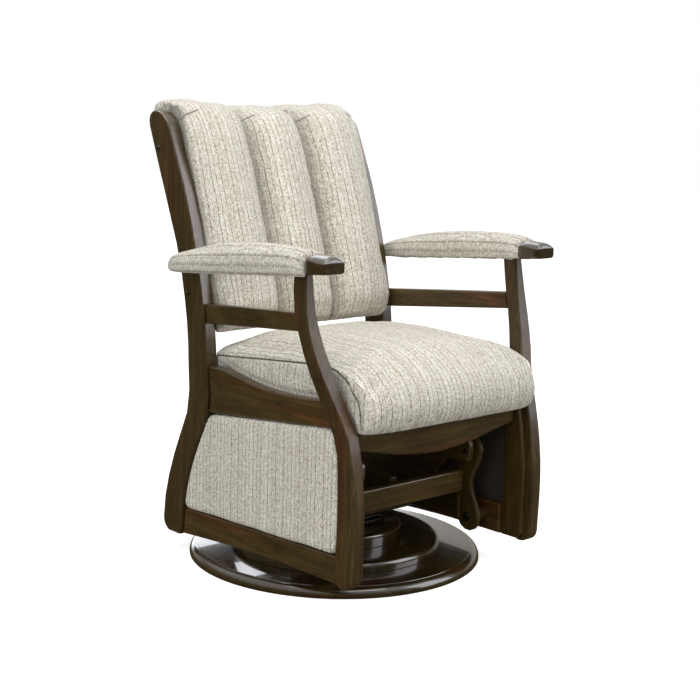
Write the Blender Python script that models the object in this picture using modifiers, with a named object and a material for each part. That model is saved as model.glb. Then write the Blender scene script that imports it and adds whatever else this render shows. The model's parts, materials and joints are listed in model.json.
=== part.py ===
"""A swivel glider: a chair hung from four swing links on a cradle that turns on a round base.

Metres, +Z up, and the chair faces -Y. The origin is on the floor, on the axis that the chair swivels about.
Left and right are the sitter's, so left is +X. Each side piece is built for the left, and mirrored.
"""

from math import atan2, copysign, cos, hypot, pi, sin, sqrt, tau

import bmesh
import bpy
from mathutils import Matrix, Vector

# Clearances and edges
SEATED_GAP = 0.0003  # left between two pieces that touch
PIVOT_PLAY = 0.00025  # between a bolt and its hole
WOOD_EDGE = 0.003  # chamfer along the wooden pieces
STEEL_EDGE = 0.0006
CUT_OVERRUN = 0.004

# Round base, three discs on each other
PLATTER_RADIUS = 0.325
PLATTER_HEIGHT = 0.022
PLATTER_MOULDING = 0.013  # radius of the quarter round at its rim
PLATTER_STEP = 0.0025
MIDDLE_DISC_RADIUS = 0.235
MIDDLE_DISC_HEIGHT = 0.0224
MIDDLE_DISC_MOULDING = 0.009
TOP_DISC_RADIUS = 0.148
TOP_DISC_HEIGHT = 0.0304
TOP_DISC_MOULDING = 0.006
DISC_STEPS = 48
MOULDING_STEPS = 3

# Swivel: two square plates with a ball race between them
SWIVEL_PLATE_SIDE = 0.150
SWIVEL_PLATE_THICKNESS = 0.003
RACE_RADIUS = 0.056
RACE_WIDTH = 0.014
RACE_HEIGHT = 0.007
RACE_STEPS = 32

# Cradle
CROSSBAR_DEPTH = 0.036
CROSSBAR_HEIGHT = 0.050
CROSSBAR_SPACING = 0.110
SPINE_WIDTH = 0.022
SPINE_HEIGHT = 0.069
SPINE_FRONT_GAP = 0.025  # behind the front stretcher
SPINE_REAR = 0.130
HANGER_THICKNESS = 0.018
HANGER_EAR_TOP = 0.028  # above the upper pivots
HANGER_EAR_FRONT_DROP = 0.027  # below them
HANGER_EAR_REAR_DROP = 0.030
HANGER_EAR_FRONT_REACH = 0.016
HANGER_EAR_REAR_REACH = 0.026
HANGER_FOOT_FRONT = 0.120
HANGER_FOOT_REAR = 0.105
HANGER_NECK = 0.050  # how far the feet stand back from the pivots before they widen

# Rows of (reach, depth below the pivot; less than zero is height above it) round the end of a board
EAR_SHARES = (
    (-0.20, 1.00), (0.50, 0.88), (0.88, 0.50), (1.00, 0.00), (0.88, -0.52), (0.50, -0.90), (-0.10, -1.00),
)

# Swing links and their pivots
PIVOT_FRONT_SHARE = -0.3873  # of FRAME_DEPTH behind the swivel's axis
PIVOT_REAR_SHARE = 0.25397
PIVOT_LOW_Z = 0.105
LINK_LENGTH = 0.152  # between its two pivots
LINK_INSET = 0.076  # from the posts' inner faces
LINK_THICKNESS = 0.012
LINK_END_RADIUS = 0.032
LINK_WAIST_DRAW = 0.026  # how far its front edge is drawn in at the waist
LINK_BOW = 0.008  # how far its rear edge bows out there
LINK_SIDE_STEPS = 8
LINK_END_STEPS = 7
STRETCHER_HEIGHT = 0.049
STRETCHER_THICKNESS = 0.020
STRETCHER_TOP_DROP = 0.048  # from the upper pivot down to its top edge
STRETCHER_SET_BACK = 0.014  # from the pivots' line back to its front face

# Bolts
PIVOT_BOLT_RADIUS = 0.005
PIVOT_HEAD_RADIUS = 0.009
PIVOT_HEAD_HEIGHT = 0.006
PIVOT_BOLT_BACK_OFF = 0.001  # how far its end stays inside the piece that holds it
PIVOT_BOSS_RADIUS = 0.012
BACK_BOLT_RADIUS = 0.003
BACK_BOLT_HEAD_RADIUS = 0.0055
BACK_BOLT_HEAD_HEIGHT = 0.004
BACK_BOLT_DEPTH = 0.016  # how far it goes into the back rail
BOLT_STEPS = 16

# Side frames
SEAT_HALF_WIDTH = 0.247  # to the inner faces of the posts and the legs
FRAME_DEPTH = 0.630  # the side outlines' depths are shares of this
POST_THICKNESS = 0.031
POST_FOOT_Z = 0.037
POST_HEIGHT = 0.930
POST_HEEL_RADIUS = 0.028
POST_CROWN_SHARE = 0.46  # of the post's width, the radius of its round top
LEG_FOOT_Z = 0.058
LEG_HEIGHT = 0.613
LEG_TOE_RADIUS = 0.024
LEG_LEAN = 0.0413  # how far the leg leans out between the seat and the arm
RAIL_THICKNESS = 0.025

# Rows of (height, front edge, rear edge). Heights are shares of the piece's height above its foot,
# and edges are shares of FRAME_DEPTH behind the swivel's axis.
POST_OUTLINE_SHARES = (
    (-0.020, 0.336, 0.436),
    (0.041, 0.318, 0.431),
    (0.111, 0.307, 0.415),
    (0.214, 0.254, 0.360),
    (0.319, 0.178, 0.291),
    (0.425, 0.185, 0.291),
    (0.523, 0.198, 0.302),
    (0.670, 0.245, 0.351),
    (0.820, 0.316, 0.440),
    (0.928, 0.386, 0.506),
    (1.020, 0.446, 0.560),
)
# The same for the legs, and then the lean as a share of LEG_LEAN and the thickness as one of POST_THICKNESS
LEG_OUTLINE_SHARES = (
    (-0.020, -0.567, -0.484, 0.00, 1.00),
    (0.090, -0.570, -0.487, 0.00, 1.00),
    (0.207, -0.572, -0.492, 0.00, 1.00),
    (0.312, -0.567, -0.490, 0.00, 1.00),
    (0.436, -0.548, -0.483, 0.00, 1.00),
    (0.499, -0.532, -0.464, 0.03, 1.00),
    (0.597, -0.491, -0.426, 0.34, 1.05),
    (0.695, -0.457, -0.398, 0.75, 1.11),
    (0.793, -0.425, -0.371, 0.98, 1.04),
    (0.891, -0.401, -0.343, 1.00, 0.87),
    (1.000, -0.388, -0.329, 0.86, 0.68),
)
POST_STEPS = 9
POST_UPPER_STEPS = 6
LEG_STEPS = 12
LEG_UPPER_STEPS = 2
ROUND_STEPS = 4

# Side rails, each given by its edges' heights at the post and at the leg
MID_RAIL_REAR_TOP_Z = 0.565
MID_RAIL_REAR_HEIGHT = 0.042
MID_RAIL_FRONT_TOP_Z = 0.5925
MID_RAIL_FRONT_HEIGHT = 0.0355
SCOOP_RAIL_TOP_Z = 0.433
SCOOP_DEPTH = 0.020
SCOOP_RAIL_REAR_BOTTOM_Z = 0.330
SCOOP_RAIL_FRONT_BOTTOM_Z = 0.370
BOTTOM_RAIL_REAR_TOP_Z = 0.100
BOTTOM_RAIL_FRONT_TOP_Z = 0.118
BOTTOM_RAIL_REAR_BOTTOM_Z = 0.039
BOTTOM_RAIL_FRONT_BOTTOM_Z = 0.060
BOTTOM_RAIL_ARCH = 0.007
# Rows of (place between the post and the leg, depth of the scoop)
SCOOP_SHARES = (
    (0.00, 0.00), (0.13, 0.05), (0.24, 0.35), (0.36, 0.72),
    (0.50, 0.97), (0.66, 1.00), (0.82, 0.85), (1.00, 0.50),
)
BOTTOM_ARCH_STEPS = 7

# Upholstered side panels
PANEL_GAP = 0.0012
PANEL_THICKNESS = 0.028
PANEL_INSET = 0.002  # from the posts' inner faces
PANEL_ROUND = 0.008
PANEL_CORNER_RADIUS = 0.016
PANEL_SIDE_STEPS = 6

# Inner rails that the lower pivots hold on to, and the stiles in front of them
GLIDE_RAIL_THICKNESS = 0.022
GLIDE_RAIL_HEIGHT = 0.066
GLIDE_RAIL_DROP = 0.037  # from the lower pivots down to its lower edge
GLIDE_RAIL_REACH = 0.032  # behind the rear pivots
STILE_THICKNESS = 0.014
STILE_CURVE_STEPS = 4
STILE_WIDTH = 0.0555
STILE_FRONT_SHARE = -0.5482  # of FRAME_DEPTH
STILE_SET_BACK = 0.015  # behind the leg's curved front edge
STILE_BOTTOM_Z = 0.065
STILE_CURVE_Z = 0.200  # where its front edge begins to follow the leg's
STILE_TOE = 0.012  # cut off its lower front corner

# Seat frame
APRON_THICKNESS = 0.022
APRON_FRONT_SHARE = -0.4968  # of FRAME_DEPTH
APRON_TOP_Z = 0.356
APRON_END_HEIGHT = 0.034
APRON_MIDDLE_HEIGHT = 0.067
# Rows of (place across, from the middle to an end; depth between the ends' and the middle's)
APRON_SHARES = ((0.00, 1.00), (0.24, 0.88), (0.49, 0.67), (0.73, 0.30), (0.90, 0.07), (1.00, 0.00))
REAR_RAIL_THICKNESS = 0.022
REAR_RAIL_FRONT_SHARE = 0.1873  # of FRAME_DEPTH
REAR_RAIL_HEIGHT = 0.058
LOWER_REAR_RAIL_SHARE = 0.3683  # of FRAME_DEPTH
LOWER_REAR_RAIL_Z = 0.066
LOWER_REAR_RAIL_HEIGHT = 0.052
DECK_THICKNESS = 0.012
DECK_SIDE_GAP = 0.0008

# Seat cushion
CUSHION_SIDE_GAP = 0.0015  # between it and the side rails
CUSHION_SIDE_BULGE = 0.0055  # above them, further out
CUSHION_SIDE_CLEARANCE = 0.004  # above the side rails' tops
CUSHION_SIDE_REAR = 0.034  # from the rear to where the sides begin to swell out
CUSHION_SIDE_FRONT = 0.014  # the same at the front
CUSHION_CROWN_Z = 0.508
CUSHION_FRONT_SHARE = -0.6032  # of FRAME_DEPTH
CUSHION_REAR_SHARE = 0.2143
CUSHION_SIDE_DROP = 0.014  # how much lower the crown is at the sides
CUSHION_EDGE_RADIUS = 0.013  # of the soft edge there
CUSHION_NOSE_DRAW = 0.012  # how far the front draws back at the sides
# Rows of (depth from rear to front, height from the underside to the crown) round the middle section
CUSHION_SECTION_SHARES = (
    (0.02, 0.00), (0.00, 0.18), (0.00, 0.55), (0.02, 0.80), (0.09, 0.90), (0.25, 0.96), (0.48, 1.00),
    (0.72, 0.99), (0.84, 0.94), (0.925, 0.80), (0.98, 0.57), (1.00, 0.30), (0.985, 0.05), (0.955, -0.055),
    (0.918, -0.055),
    (0.912, 0.00), (0.60, 0.00), (0.30, 0.00),
)
CUSHION_ACROSS_SHARES = (0.00, 0.30, 0.55, 0.76, 0.90, 0.975, 1.00)
# Rows of (bulge, inset of the top, lift of the bottom) further out. They are shares of the bulge and of
# the edge's radius.
CUSHION_SIDE_SHARES = ((0.02, 1.15, 0.00), (1.00, 1.70, 0.30))

# Arms
ARM_FRONT_SHARE = -0.5016  # of FRAME_DEPTH
ARM_REAR_SHARE = 0.2762
ARM_FRONT_UNDER_Z = 0.675
ARM_SLOPE = 0.0816  # rise for each metre towards the front
ARM_TIP_LENGTH = 0.055
ARM_TIP_WIDTH = 0.0555
ARM_TIP_SHOULDER = 0.0225  # height of its upright sides in front
ARM_TIP_RISE = 0.010  # how much higher they are at the pad
ARM_TIP_CROWN = 0.010  # how far the top is domed above them
ARM_TIP_CORNER = 0.008
ARM_CORE_THICKNESS = 0.016
ARM_CORE_WIDTH = 0.034
ARM_CORE_INSET = 0.012  # from the posts' outer faces
PAD_WIDTH = 0.066
PAD_HEIGHT = 0.067
PAD_OVERHANG = 0.015  # behind the board
PAD_DROP = 0.0068  # below the board
PAD_SECTION_STEPS = 14
# Rows of (place from the pad to the front end, width, shoulder's rise, dome) of the bare tip
TIP_SHARES = (
    (0.00, 1.00, 1.00, 1.00), (0.20, 1.00, 0.82, 1.00), (0.42, 1.00, 0.25, 1.00), (0.62, 1.00, 0.00, 1.00),
    (0.86, 1.00, 0.00, 0.72), (0.96, 0.90, 0.00, 0.30), (1.00, 0.74, -0.15, 0.05),
)
# Rows of (place across, height) over the dome, from its left edge to its right
DOME_SHARES = ((0.00, 0.00), (0.10, 0.50), (0.30, 0.92), (0.70, 0.92), (0.90, 0.50), (1.00, 0.00))
# Rows of (place from the rear end to the tip, width, height) of the pad's sections
PAD_SECTION_SHARES = (
    (0.000, 0.40, 0.31), (0.012, 0.64, 0.44), (0.034, 0.82, 0.56), (0.07, 0.92, 0.66), (0.13, 0.98, 0.73),
    (0.243, 1.00, 0.85), (0.445, 1.00, 0.98), (0.64, 1.00, 1.00), (0.828, 1.00, 0.94), (0.93, 0.99, 0.86),
    (1.000, 0.97, 0.77),
)

# Back, measured along the line through its bolts
BACK_LOWER_BOLT_SHARE = 0.2905  # of FRAME_DEPTH
BACK_LOWER_BOLT_Z = 0.582
BACK_UPPER_BOLT_SHARE = 0.4698
BACK_UPPER_BOLT_HEIGHT_SHARE = 0.915  # of the posts' height above their feet
BACK_RAIL_THICKNESS = 0.022
BACK_RAIL_HEIGHT = 0.056
BACK_BOARD_THICKNESS = 0.006
BACK_BOARD_SIDE_GAP = 0.015  # to the posts' inner faces
BACK_BOARD_BELOW = 0.070  # below the lower bolts
BACK_BOARD_ABOVE = 0.048  # above the upper bolts
BACK_CUSHION_SIDE_GAP = 0.004
BACK_SEAM_SHARE = 0.325  # of the cushion's half width, from the middle to the seams between the channels
BACK_CUSHION_BELOW = 0.096
BACK_CUSHION_ABOVE = 0.108
BACK_CUSHION_CROWN = 0.113  # from the bolts' line forward to the crown of a channel
BACK_SEAM_DEPTH = 0.068  # from the crown back to a seam
BACK_SIDE_DEPTH = 0.040  # from the crown back to the outer side
BACK_CHANNEL_DIP = 0.006  # how far the top dips at the seams and the sides
BACK_MIDDLE_DROP = 0.006  # how much lower the middle channel's top is
BACK_ROLL_REAR = 0.048  # how far the top rolls back behind the bolts' line
BACK_ROLL_HEIGHT = 0.044
# Rows of (place up the cushion, forward place between the board and the crown) up the front
BACK_FRONT_SHARES = (
    (0.000, 0.18), (0.012, 0.56), (0.073, 0.86), (0.166, 0.92), (0.31, 0.95), (0.488, 0.985), (0.684, 1.00),
    (0.80, 0.965), (0.862, 0.89), (0.908, 0.75), (0.945, 0.465), (0.978, 0.067),
)
# Rows of (place rearward from the bolts' line, drop below the top) over the roll
BACK_ROLL_SHARES = ((0.00, 0.12), (0.40, 0.00), (0.75, 0.14), (0.96, 0.50), (1.00, 0.95))
BACK_SHELF_SHARE = 0.85  # of the roll's reach, where it meets the board's top
CHANNEL_SHARES = (-1.00, -0.93, -0.75, -0.45, 0.00, 0.45, 0.75, 0.93)
OUTSIDE_BACK_THICKNESS = 0.018
OUTSIDE_BACK_SIDE_GAP = 0.007
OUTSIDE_BACK_ROUND = 0.006

# Colours as (red, green, blue), and roughness
WOOD_COLOUR = (0.050, 0.024, 0.015)
WOOD_ROUGHNESS = 0.32
FABRIC_COLOUR = (0.56, 0.51, 0.44)
FABRIC_ROUGHNESS = 0.95
STEEL_COLOUR = (0.42, 0.42, 0.43)
BOLT_COLOUR = (0.06, 0.055, 0.05)
METAL_ROUGHNESS = 0.38

# Places worked out from the sizes
MIDDLE_DISC_Z = PLATTER_HEIGHT + SEATED_GAP
TOP_DISC_Z = MIDDLE_DISC_Z + MIDDLE_DISC_HEIGHT + SEATED_GAP
LOWER_PLATE_Z = TOP_DISC_Z + TOP_DISC_HEIGHT + SEATED_GAP
RACE_Z = LOWER_PLATE_Z + SWIVEL_PLATE_THICKNESS + SEATED_GAP
UPPER_PLATE_Z = RACE_Z + RACE_HEIGHT + SEATED_GAP
CROSSBAR_Z = UPPER_PLATE_Z + SWIVEL_PLATE_THICKNESS + SEATED_GAP
CRADLE_DECK_Z = CROSSBAR_Z + CROSSBAR_HEIGHT + SEATED_GAP
PIVOT_HIGH_Z = PIVOT_LOW_Z + LINK_LENGTH
PIVOT_FRONT_Y = FRAME_DEPTH * PIVOT_FRONT_SHARE
PIVOT_REAR_Y = FRAME_DEPTH * PIVOT_REAR_SHARE
SPINE_FRONT_Y = PIVOT_FRONT_Y + STRETCHER_SET_BACK + STRETCHER_THICKNESS + SPINE_FRONT_GAP
LINK_INNER_X = SEAT_HALF_WIDTH - LINK_INSET
LINK_OUTER_X = LINK_INNER_X + LINK_THICKNESS
HANGER_OUTER_X = LINK_INNER_X - SEATED_GAP
HANGER_INNER_X = HANGER_OUTER_X - HANGER_THICKNESS
FRAME_OUTER_X = SEAT_HALF_WIDTH + POST_THICKNESS
INNER_FACE_X = SEAT_HALF_WIDTH - SEATED_GAP  # for what lies against the posts' inner faces
GLIDE_RAIL_INNER_X = INNER_FACE_X - GLIDE_RAIL_THICKNESS
GLIDE_RAIL_REAR_Y = PIVOT_REAR_Y + GLIDE_RAIL_REACH
STILE_INNER_X = INNER_FACE_X - STILE_THICKNESS
STILE_FRONT_Y = FRAME_DEPTH * STILE_FRONT_SHARE
APRON_FRONT_Y = FRAME_DEPTH * APRON_FRONT_SHARE
REAR_RAIL_FRONT_Y = FRAME_DEPTH * REAR_RAIL_FRONT_SHARE
LOWER_REAR_RAIL_Y = FRAME_DEPTH * LOWER_REAR_RAIL_SHARE
DECK_Z = APRON_TOP_Z + SEATED_GAP
CUSHION_Z = DECK_Z + DECK_THICKNESS + SEATED_GAP
CUSHION_HALF_WIDTH = SEAT_HALF_WIDTH - CUSHION_SIDE_GAP
CUSHION_FRONT_Y = FRAME_DEPTH * CUSHION_FRONT_SHARE
CUSHION_REAR_Y = FRAME_DEPTH * CUSHION_REAR_SHARE
ARM_INNER_X = FRAME_OUTER_X + SEATED_GAP
ARM_FRONT_Y = FRAME_DEPTH * ARM_FRONT_SHARE
ARM_REAR_Y = FRAME_DEPTH * ARM_REAR_SHARE
BACK_LOWER_BOLT_Y = FRAME_DEPTH * BACK_LOWER_BOLT_SHARE
BACK_UPPER_BOLT_Y = FRAME_DEPTH * BACK_UPPER_BOLT_SHARE
BACK_UPPER_BOLT_Z = POST_FOOT_Z + POST_HEIGHT * BACK_UPPER_BOLT_HEIGHT_SHARE
BACK_SLOPE = atan2(BACK_UPPER_BOLT_Y - BACK_LOWER_BOLT_Y, BACK_UPPER_BOLT_Z - BACK_LOWER_BOLT_Z)
BACK_BOLT_SPACING = hypot(BACK_UPPER_BOLT_Y - BACK_LOWER_BOLT_Y, BACK_UPPER_BOLT_Z - BACK_LOWER_BOLT_Z)
BACK_BOARD_FORWARD = BACK_RAIL_THICKNESS / 2 + SEATED_GAP
BACK_CUSHION_FORWARD = BACK_BOARD_FORWARD + BACK_BOARD_THICKNESS + SEATED_GAP
BACK_BOARD_HALF_WIDTH = SEAT_HALF_WIDTH - BACK_BOARD_SIDE_GAP
BACK_CUSHION_HALF_WIDTH = SEAT_HALF_WIDTH - BACK_CUSHION_SIDE_GAP
BACK_SEAM_X = BACK_CUSHION_HALF_WIDTH * BACK_SEAM_SHARE
OUTSIDE_BACK_HALF_WIDTH = SEAT_HALF_WIDTH - OUTSIDE_BACK_SIDE_GAP
SIDES = (("left", 1), ("right", -1))
ENDS = (("front", PIVOT_FRONT_Y), ("rear", PIVOT_REAR_Y))

# How a flat outline lies: its local axes as columns of a rotation
SIDE_PLANE = Matrix(((0, 0, 1), (1, 0, 0), (0, 1, 0))).to_4x4()  # outline in (y, z), thickness along x
FRONT_PLANE = Matrix(((1, 0, 0), (0, 0, -1), (0, 1, 0))).to_4x4()  # outline in (x, z), thickness along -y
TOP_PLANE = Matrix.Identity(4)  # outline in (x, y), thickness along z


def clear_scene():
    for old in list(bpy.data.objects):
        bpy.data.objects.remove(old, do_unlink=True)


def collection(name):
    made = bpy.data.collections.new(name)
    bpy.context.scene.collection.children.link(made)
    return made


def plain_material(name, colour, roughness, metallic=0.0):
    made = bpy.data.materials.new(name)
    made.use_nodes = True
    shader = made.node_tree.nodes["Principled BSDF"]
    shader.inputs["Base Color"].default_value = (*colour, 1.0)
    shader.inputs["Roughness"].default_value = roughness
    shader.inputs["Metallic"].default_value = metallic
    return made


def joint_axis(name, place):
    """An empty on a joint's axis, which the joint's pieces are parented to."""
    empty = bpy.data.objects.new(name, None)
    empty.location = place
    chair.objects.link(empty)
    bpy.context.view_layer.update()
    return empty


def add(name, data, finish, parent, matrix=None):
    made = bpy.data.objects.new(name, data)
    made.data.materials.append(finish)
    chair.objects.link(made)
    if matrix is not None:
        made.matrix_world = matrix
    if parent is not None:
        made.parent = parent
        made.matrix_parent_inverse = parent.matrix_world.inverted()
    return made


def flat_board(name, outline, plane, low, high, finish, parent, edge=WOOD_EDGE, rounding=0):
    """A board from a flat outline: a filled 2D curve, from low to high along the plane's normal."""
    curve = bpy.data.curves.new(name, "CURVE")
    curve.dimensions = "2D"
    curve.fill_mode = "BOTH"
    curve.extrude = (high - low) / 2 - edge
    curve.bevel_depth = edge
    curve.bevel_resolution = rounding
    curve.offset = -edge
    spline = curve.splines.new("POLY")
    spline.points.add(len(outline) - 1)
    for point, (across, up) in zip(spline.points, outline):
        point.co = (across, up, 0, 1)
    spline.use_cyclic_u = True
    matrix = plane @ Matrix.Translation((0, 0, (low + high) / 2))
    return add(name, curve, finish, parent, matrix)


def made_mesh(board):
    """The board's curve as a mesh with its caps joined on, so that it can be drilled."""
    bpy.context.view_layer.update()
    name = board.name
    matrix = board.matrix_world.copy()
    parent = board.parent
    finish = board.data.materials[0]
    mesh = bpy.data.meshes.new_from_object(board.evaluated_get(bpy.context.evaluated_depsgraph_get()))
    bpy.data.objects.remove(board)
    work = bmesh.new()
    work.from_mesh(mesh)
    bmesh.ops.remove_doubles(work, verts=work.verts, dist=SEATED_GAP / 100)
    work.to_mesh(mesh)
    work.free()
    mesh.materials.clear()
    return add(name, mesh, finish, parent, matrix)


def loft(name, rings, finish, parent):
    """A closed solid through rings of points, with a flat cap on each end."""
    work = bmesh.new()
    loops = [[work.verts.new(point) for point in ring] for ring in rings]
    count = len(loops[0])
    for lower, upper in zip(loops, loops[1:]):
        for i in range(count):
            j = (i + 1) % count
            work.faces.new((lower[i], lower[j], upper[j], upper[i]))
    work.faces.new(loops[0])
    work.faces.new(loops[-1])
    bmesh.ops.recalc_face_normals(work, faces=work.faces)
    mesh = bpy.data.meshes.new(name)
    work.to_mesh(mesh)
    work.free()
    return add(name, mesh, finish, parent)


def turned(name, profile, steps, finish, parent, matrix=None):
    """A turned piece: the profile, as (radius, height) rows down its outer side, spun about Z."""
    work = bmesh.new()
    points = [work.verts.new((radius, 0, height)) for radius, height in profile]
    for upper, lower in zip(points, points[1:]):
        work.edges.new((upper, lower))
    mesh = bpy.data.meshes.new(name)
    work.to_mesh(mesh)
    work.free()
    made = add(name, mesh, finish, parent, matrix)
    screw = made.modifiers.new("Turn", "SCREW")
    screw.steps = steps
    screw.render_steps = steps
    screw.use_merge_vertices = True
    screw.merge_threshold = SEATED_GAP / 100
    return made


def drill(target, radius, start, end, name):
    """Cuts a round hole from start to end."""
    work = bmesh.new()
    reach = Vector(end) - Vector(start)
    bmesh.ops.create_cone(
        work, cap_ends=True, segments=BOLT_STEPS, radius1=radius, radius2=radius, depth=reach.length
    )
    mesh = bpy.data.meshes.new(name)
    work.to_mesh(mesh)
    work.free()
    cutter = bpy.data.objects.new(name, mesh)
    cutter.matrix_world = along(Vector(start) + reach / 2, reach)
    cutter.hide_render = True
    cutter.display_type = "WIRE"
    cutters.objects.link(cutter)
    cut = target.modifiers.new(name, "BOOLEAN")
    cut.operation = "DIFFERENCE"
    cut.object = cutter


def along(place, direction):
    """A placement at a point, with local Z along a direction."""
    turn = Vector((0, 0, 1)).rotation_difference(Vector(direction)).to_matrix().to_4x4()
    return Matrix.Translation(place) @ turn


def smooth_value(table, column, place):
    """A column's value at a place, on a smooth curve through the table's rows."""
    rows = [row[0] for row in table]
    last = len(table) - 2
    i = max(0, min(last, sum(1 for value in rows if value <= place) - 1))
    slopes = []
    for k in (i, i + 1):
        before = max(0, k - 1)
        after = min(len(table) - 1, k + 1)
        slopes.append((table[after][column] - table[before][column]) / (rows[after] - rows[before]))
    width = rows[i + 1] - rows[i]
    t = (place - rows[i]) / width
    start = table[i][column]
    end = table[i + 1][column]
    return (
        start * (1 + 2 * t) * (1 - t) ** 2
        + slopes[0] * width * t * (1 - t) ** 2
        + end * t * t * (3 - 2 * t)
        + slopes[1] * width * t * t * (t - 1)
    )


def steps_between(low, high, count):
    return [low + (high - low) * i / count for i in range(count + 1)]


def corner_inset(distance, radius):
    """How far a rounded corner lies inside the square one, at a distance from its end."""
    if distance >= radius:
        return 0
    return radius - sqrt(radius**2 - (radius - distance) ** 2)


def round_places(radius, steps):
    """Distances from a piece's end at which its rounded corner gets a point."""
    return [radius * (1 - cos(pi / 2 * i / steps)) for i in range(1, steps + 1)]


def post_edge(column, z):
    return FRAME_DEPTH * smooth_value(POST_OUTLINE_SHARES, column, (z - POST_FOOT_Z) / POST_HEIGHT)


def leg_share(column, z):
    return smooth_value(LEG_OUTLINE_SHARES, column, (z - LEG_FOOT_Z) / LEG_HEIGHT)


def leg_edge(column, z):
    return FRAME_DEPTH * leg_share(column, z)


def leg_outer(z):
    return FRAME_OUTER_X + LEG_LEAN * leg_share(3, z)


def leg_inner(z):
    return leg_outer(z) - POST_THICKNESS * leg_share(4, z)


def straight_between(edge, column, heights, z):
    """The edge at z, straight between the heights of the lofted piece's sections."""
    above = next((i for i, height in enumerate(heights) if height >= z), len(heights) - 1)
    low = heights[max(0, above - 1)]
    high = heights[max(1, above)]
    start = edge(column, low)
    return start + (edge(column, high) - start) * (z - low) / (high - low)


def post_heights():
    """Heights of a post's sections, from the heel to the crown, with one at each edge of the mid rail."""
    top_z = POST_FOOT_Z + POST_HEIGHT
    heel = [corner_start(POST_HEEL_RADIUS), *round_places(POST_HEEL_RADIUS, ROUND_STEPS)]
    crown = post_crown()
    round_top = [corner_start(crown), *round_places(crown, ROUND_STEPS)]
    rail = [MID_RAIL_REAR_TOP_Z - MID_RAIL_REAR_HEIGHT, MID_RAIL_REAR_TOP_Z]
    heights = [POST_FOOT_Z + place for place in heel]
    heights += steps_between(POST_FOOT_Z + POST_HEEL_RADIUS, rail[0], POST_STEPS)[1:]
    heights += steps_between(rail[1], top_z - crown, POST_UPPER_STEPS)[:-1]
    return heights + [top_z - place for place in reversed(round_top)]


def post_crown():
    """Radius of the post's round top."""
    top_z = POST_FOOT_Z + POST_HEIGHT
    return POST_CROWN_SHARE * (post_edge(2, top_z) - post_edge(1, top_z))


def leg_heights():
    """Heights of a leg's sections, from the toe to the arm, with one at each edge of the mid rail."""
    toe = [corner_start(LEG_TOE_RADIUS), *round_places(LEG_TOE_RADIUS, ROUND_STEPS)]
    rail = [MID_RAIL_FRONT_TOP_Z - MID_RAIL_FRONT_HEIGHT, MID_RAIL_FRONT_TOP_Z]
    heights = [LEG_FOOT_Z + place for place in toe]
    heights += steps_between(LEG_FOOT_Z + LEG_TOE_RADIUS, rail[0], LEG_STEPS)[1:]
    return heights + steps_between(rail[1], LEG_FOOT_Z + LEG_HEIGHT, LEG_UPPER_STEPS)


def post_front(z):
    return straight_between(post_edge, 1, post_heights(), z)


def leg_front(z):
    return straight_between(leg_edge, 1, leg_heights(), z)


def leg_rear(z):
    return straight_between(leg_edge, 2, leg_heights(), z)


def arm_under(y):
    """Height of the arm board's underside."""
    return ARM_FRONT_UNDER_Z - ARM_SLOPE * (y - ARM_FRONT_Y)


def chamfered(low_x, high_x, low_v, high_v, edge=WOOD_EDGE):
    """A rectangle with its four corners cut, as (x, v) points in order."""
    return (
        (low_x + edge, low_v), (high_x - edge, low_v), (high_x, low_v + edge), (high_x, high_v - edge),
        (high_x - edge, high_v), (low_x + edge, high_v), (low_x, high_v - edge), (low_x, low_v + edge),
    )


def add_base():
    """Three turned discs. The platter's rim has a small step and a quarter round."""
    floor_edge = PLATTER_RADIUS - STEEL_EDGE
    rim = [(0, PLATTER_HEIGHT)]
    shoulder = PLATTER_RADIUS - PLATTER_MOULDING
    rim.append((shoulder - PLATTER_STEP, PLATTER_HEIGHT))
    rim.append((shoulder, PLATTER_HEIGHT - PLATTER_STEP))
    for i in range(1, MOULDING_STEPS + 1):
        turn = pi / 2 * i / MOULDING_STEPS
        drop = PLATTER_MOULDING * (1 - cos(turn))
        rim.append((shoulder + PLATTER_MOULDING * sin(turn), PLATTER_HEIGHT - PLATTER_STEP - drop))
    rim += [(PLATTER_RADIUS, STEEL_EDGE), (floor_edge, 0), (0, 0)]
    turned("base_platter", rim, DISC_STEPS, wood, None)
    discs = (
        ("base_middle_disc", MIDDLE_DISC_Z, MIDDLE_DISC_RADIUS, MIDDLE_DISC_HEIGHT, MIDDLE_DISC_MOULDING),
        ("base_top_disc", TOP_DISC_Z, TOP_DISC_RADIUS, TOP_DISC_HEIGHT, TOP_DISC_MOULDING),
    )
    for name, z, radius, height, moulding in discs:
        profile = [(0, z + height), (radius - moulding, z + height)]
        for i in range(1, MOULDING_STEPS + 1):
            turn = pi / 2 * i / MOULDING_STEPS
            profile.append((radius - moulding * (1 - sin(turn)), z + height - moulding * (1 - cos(turn))))
        profile += [(radius, z), (0, z)]
        turned(name, profile, DISC_STEPS, wood, None)


def add_swivel():
    half = SWIVEL_PLATE_SIDE / 2
    square = ((-half, -half), (half, -half), (half, half), (-half, half))
    plates = (("swivel_lower_plate", LOWER_PLATE_Z, None), ("swivel_upper_plate", UPPER_PLATE_Z, swivel))
    for name, z, parent in plates:
        flat_board(name, square, TOP_PLANE, z, z + SWIVEL_PLATE_THICKNESS, steel, parent, STEEL_EDGE)
    inner = RACE_RADIUS - RACE_WIDTH / 2
    outer = RACE_RADIUS + RACE_WIDTH / 2
    top = RACE_Z + RACE_HEIGHT
    race = ((inner, top), (outer, top), (outer, RACE_Z), (inner, RACE_Z), (inner, top))
    turned("swivel_bearing_ring", race, RACE_STEPS, steel, None)


def ear_outline(y, reach, drop):
    """The round end of a hanger board, from its underside to its top."""
    return [
        (y + reach * out, PIVOT_HIGH_Z - drop * down if down > 0 else PIVOT_HIGH_Z - HANGER_EAR_TOP * down)
        for out, down in EAR_SHARES
    ]


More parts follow.
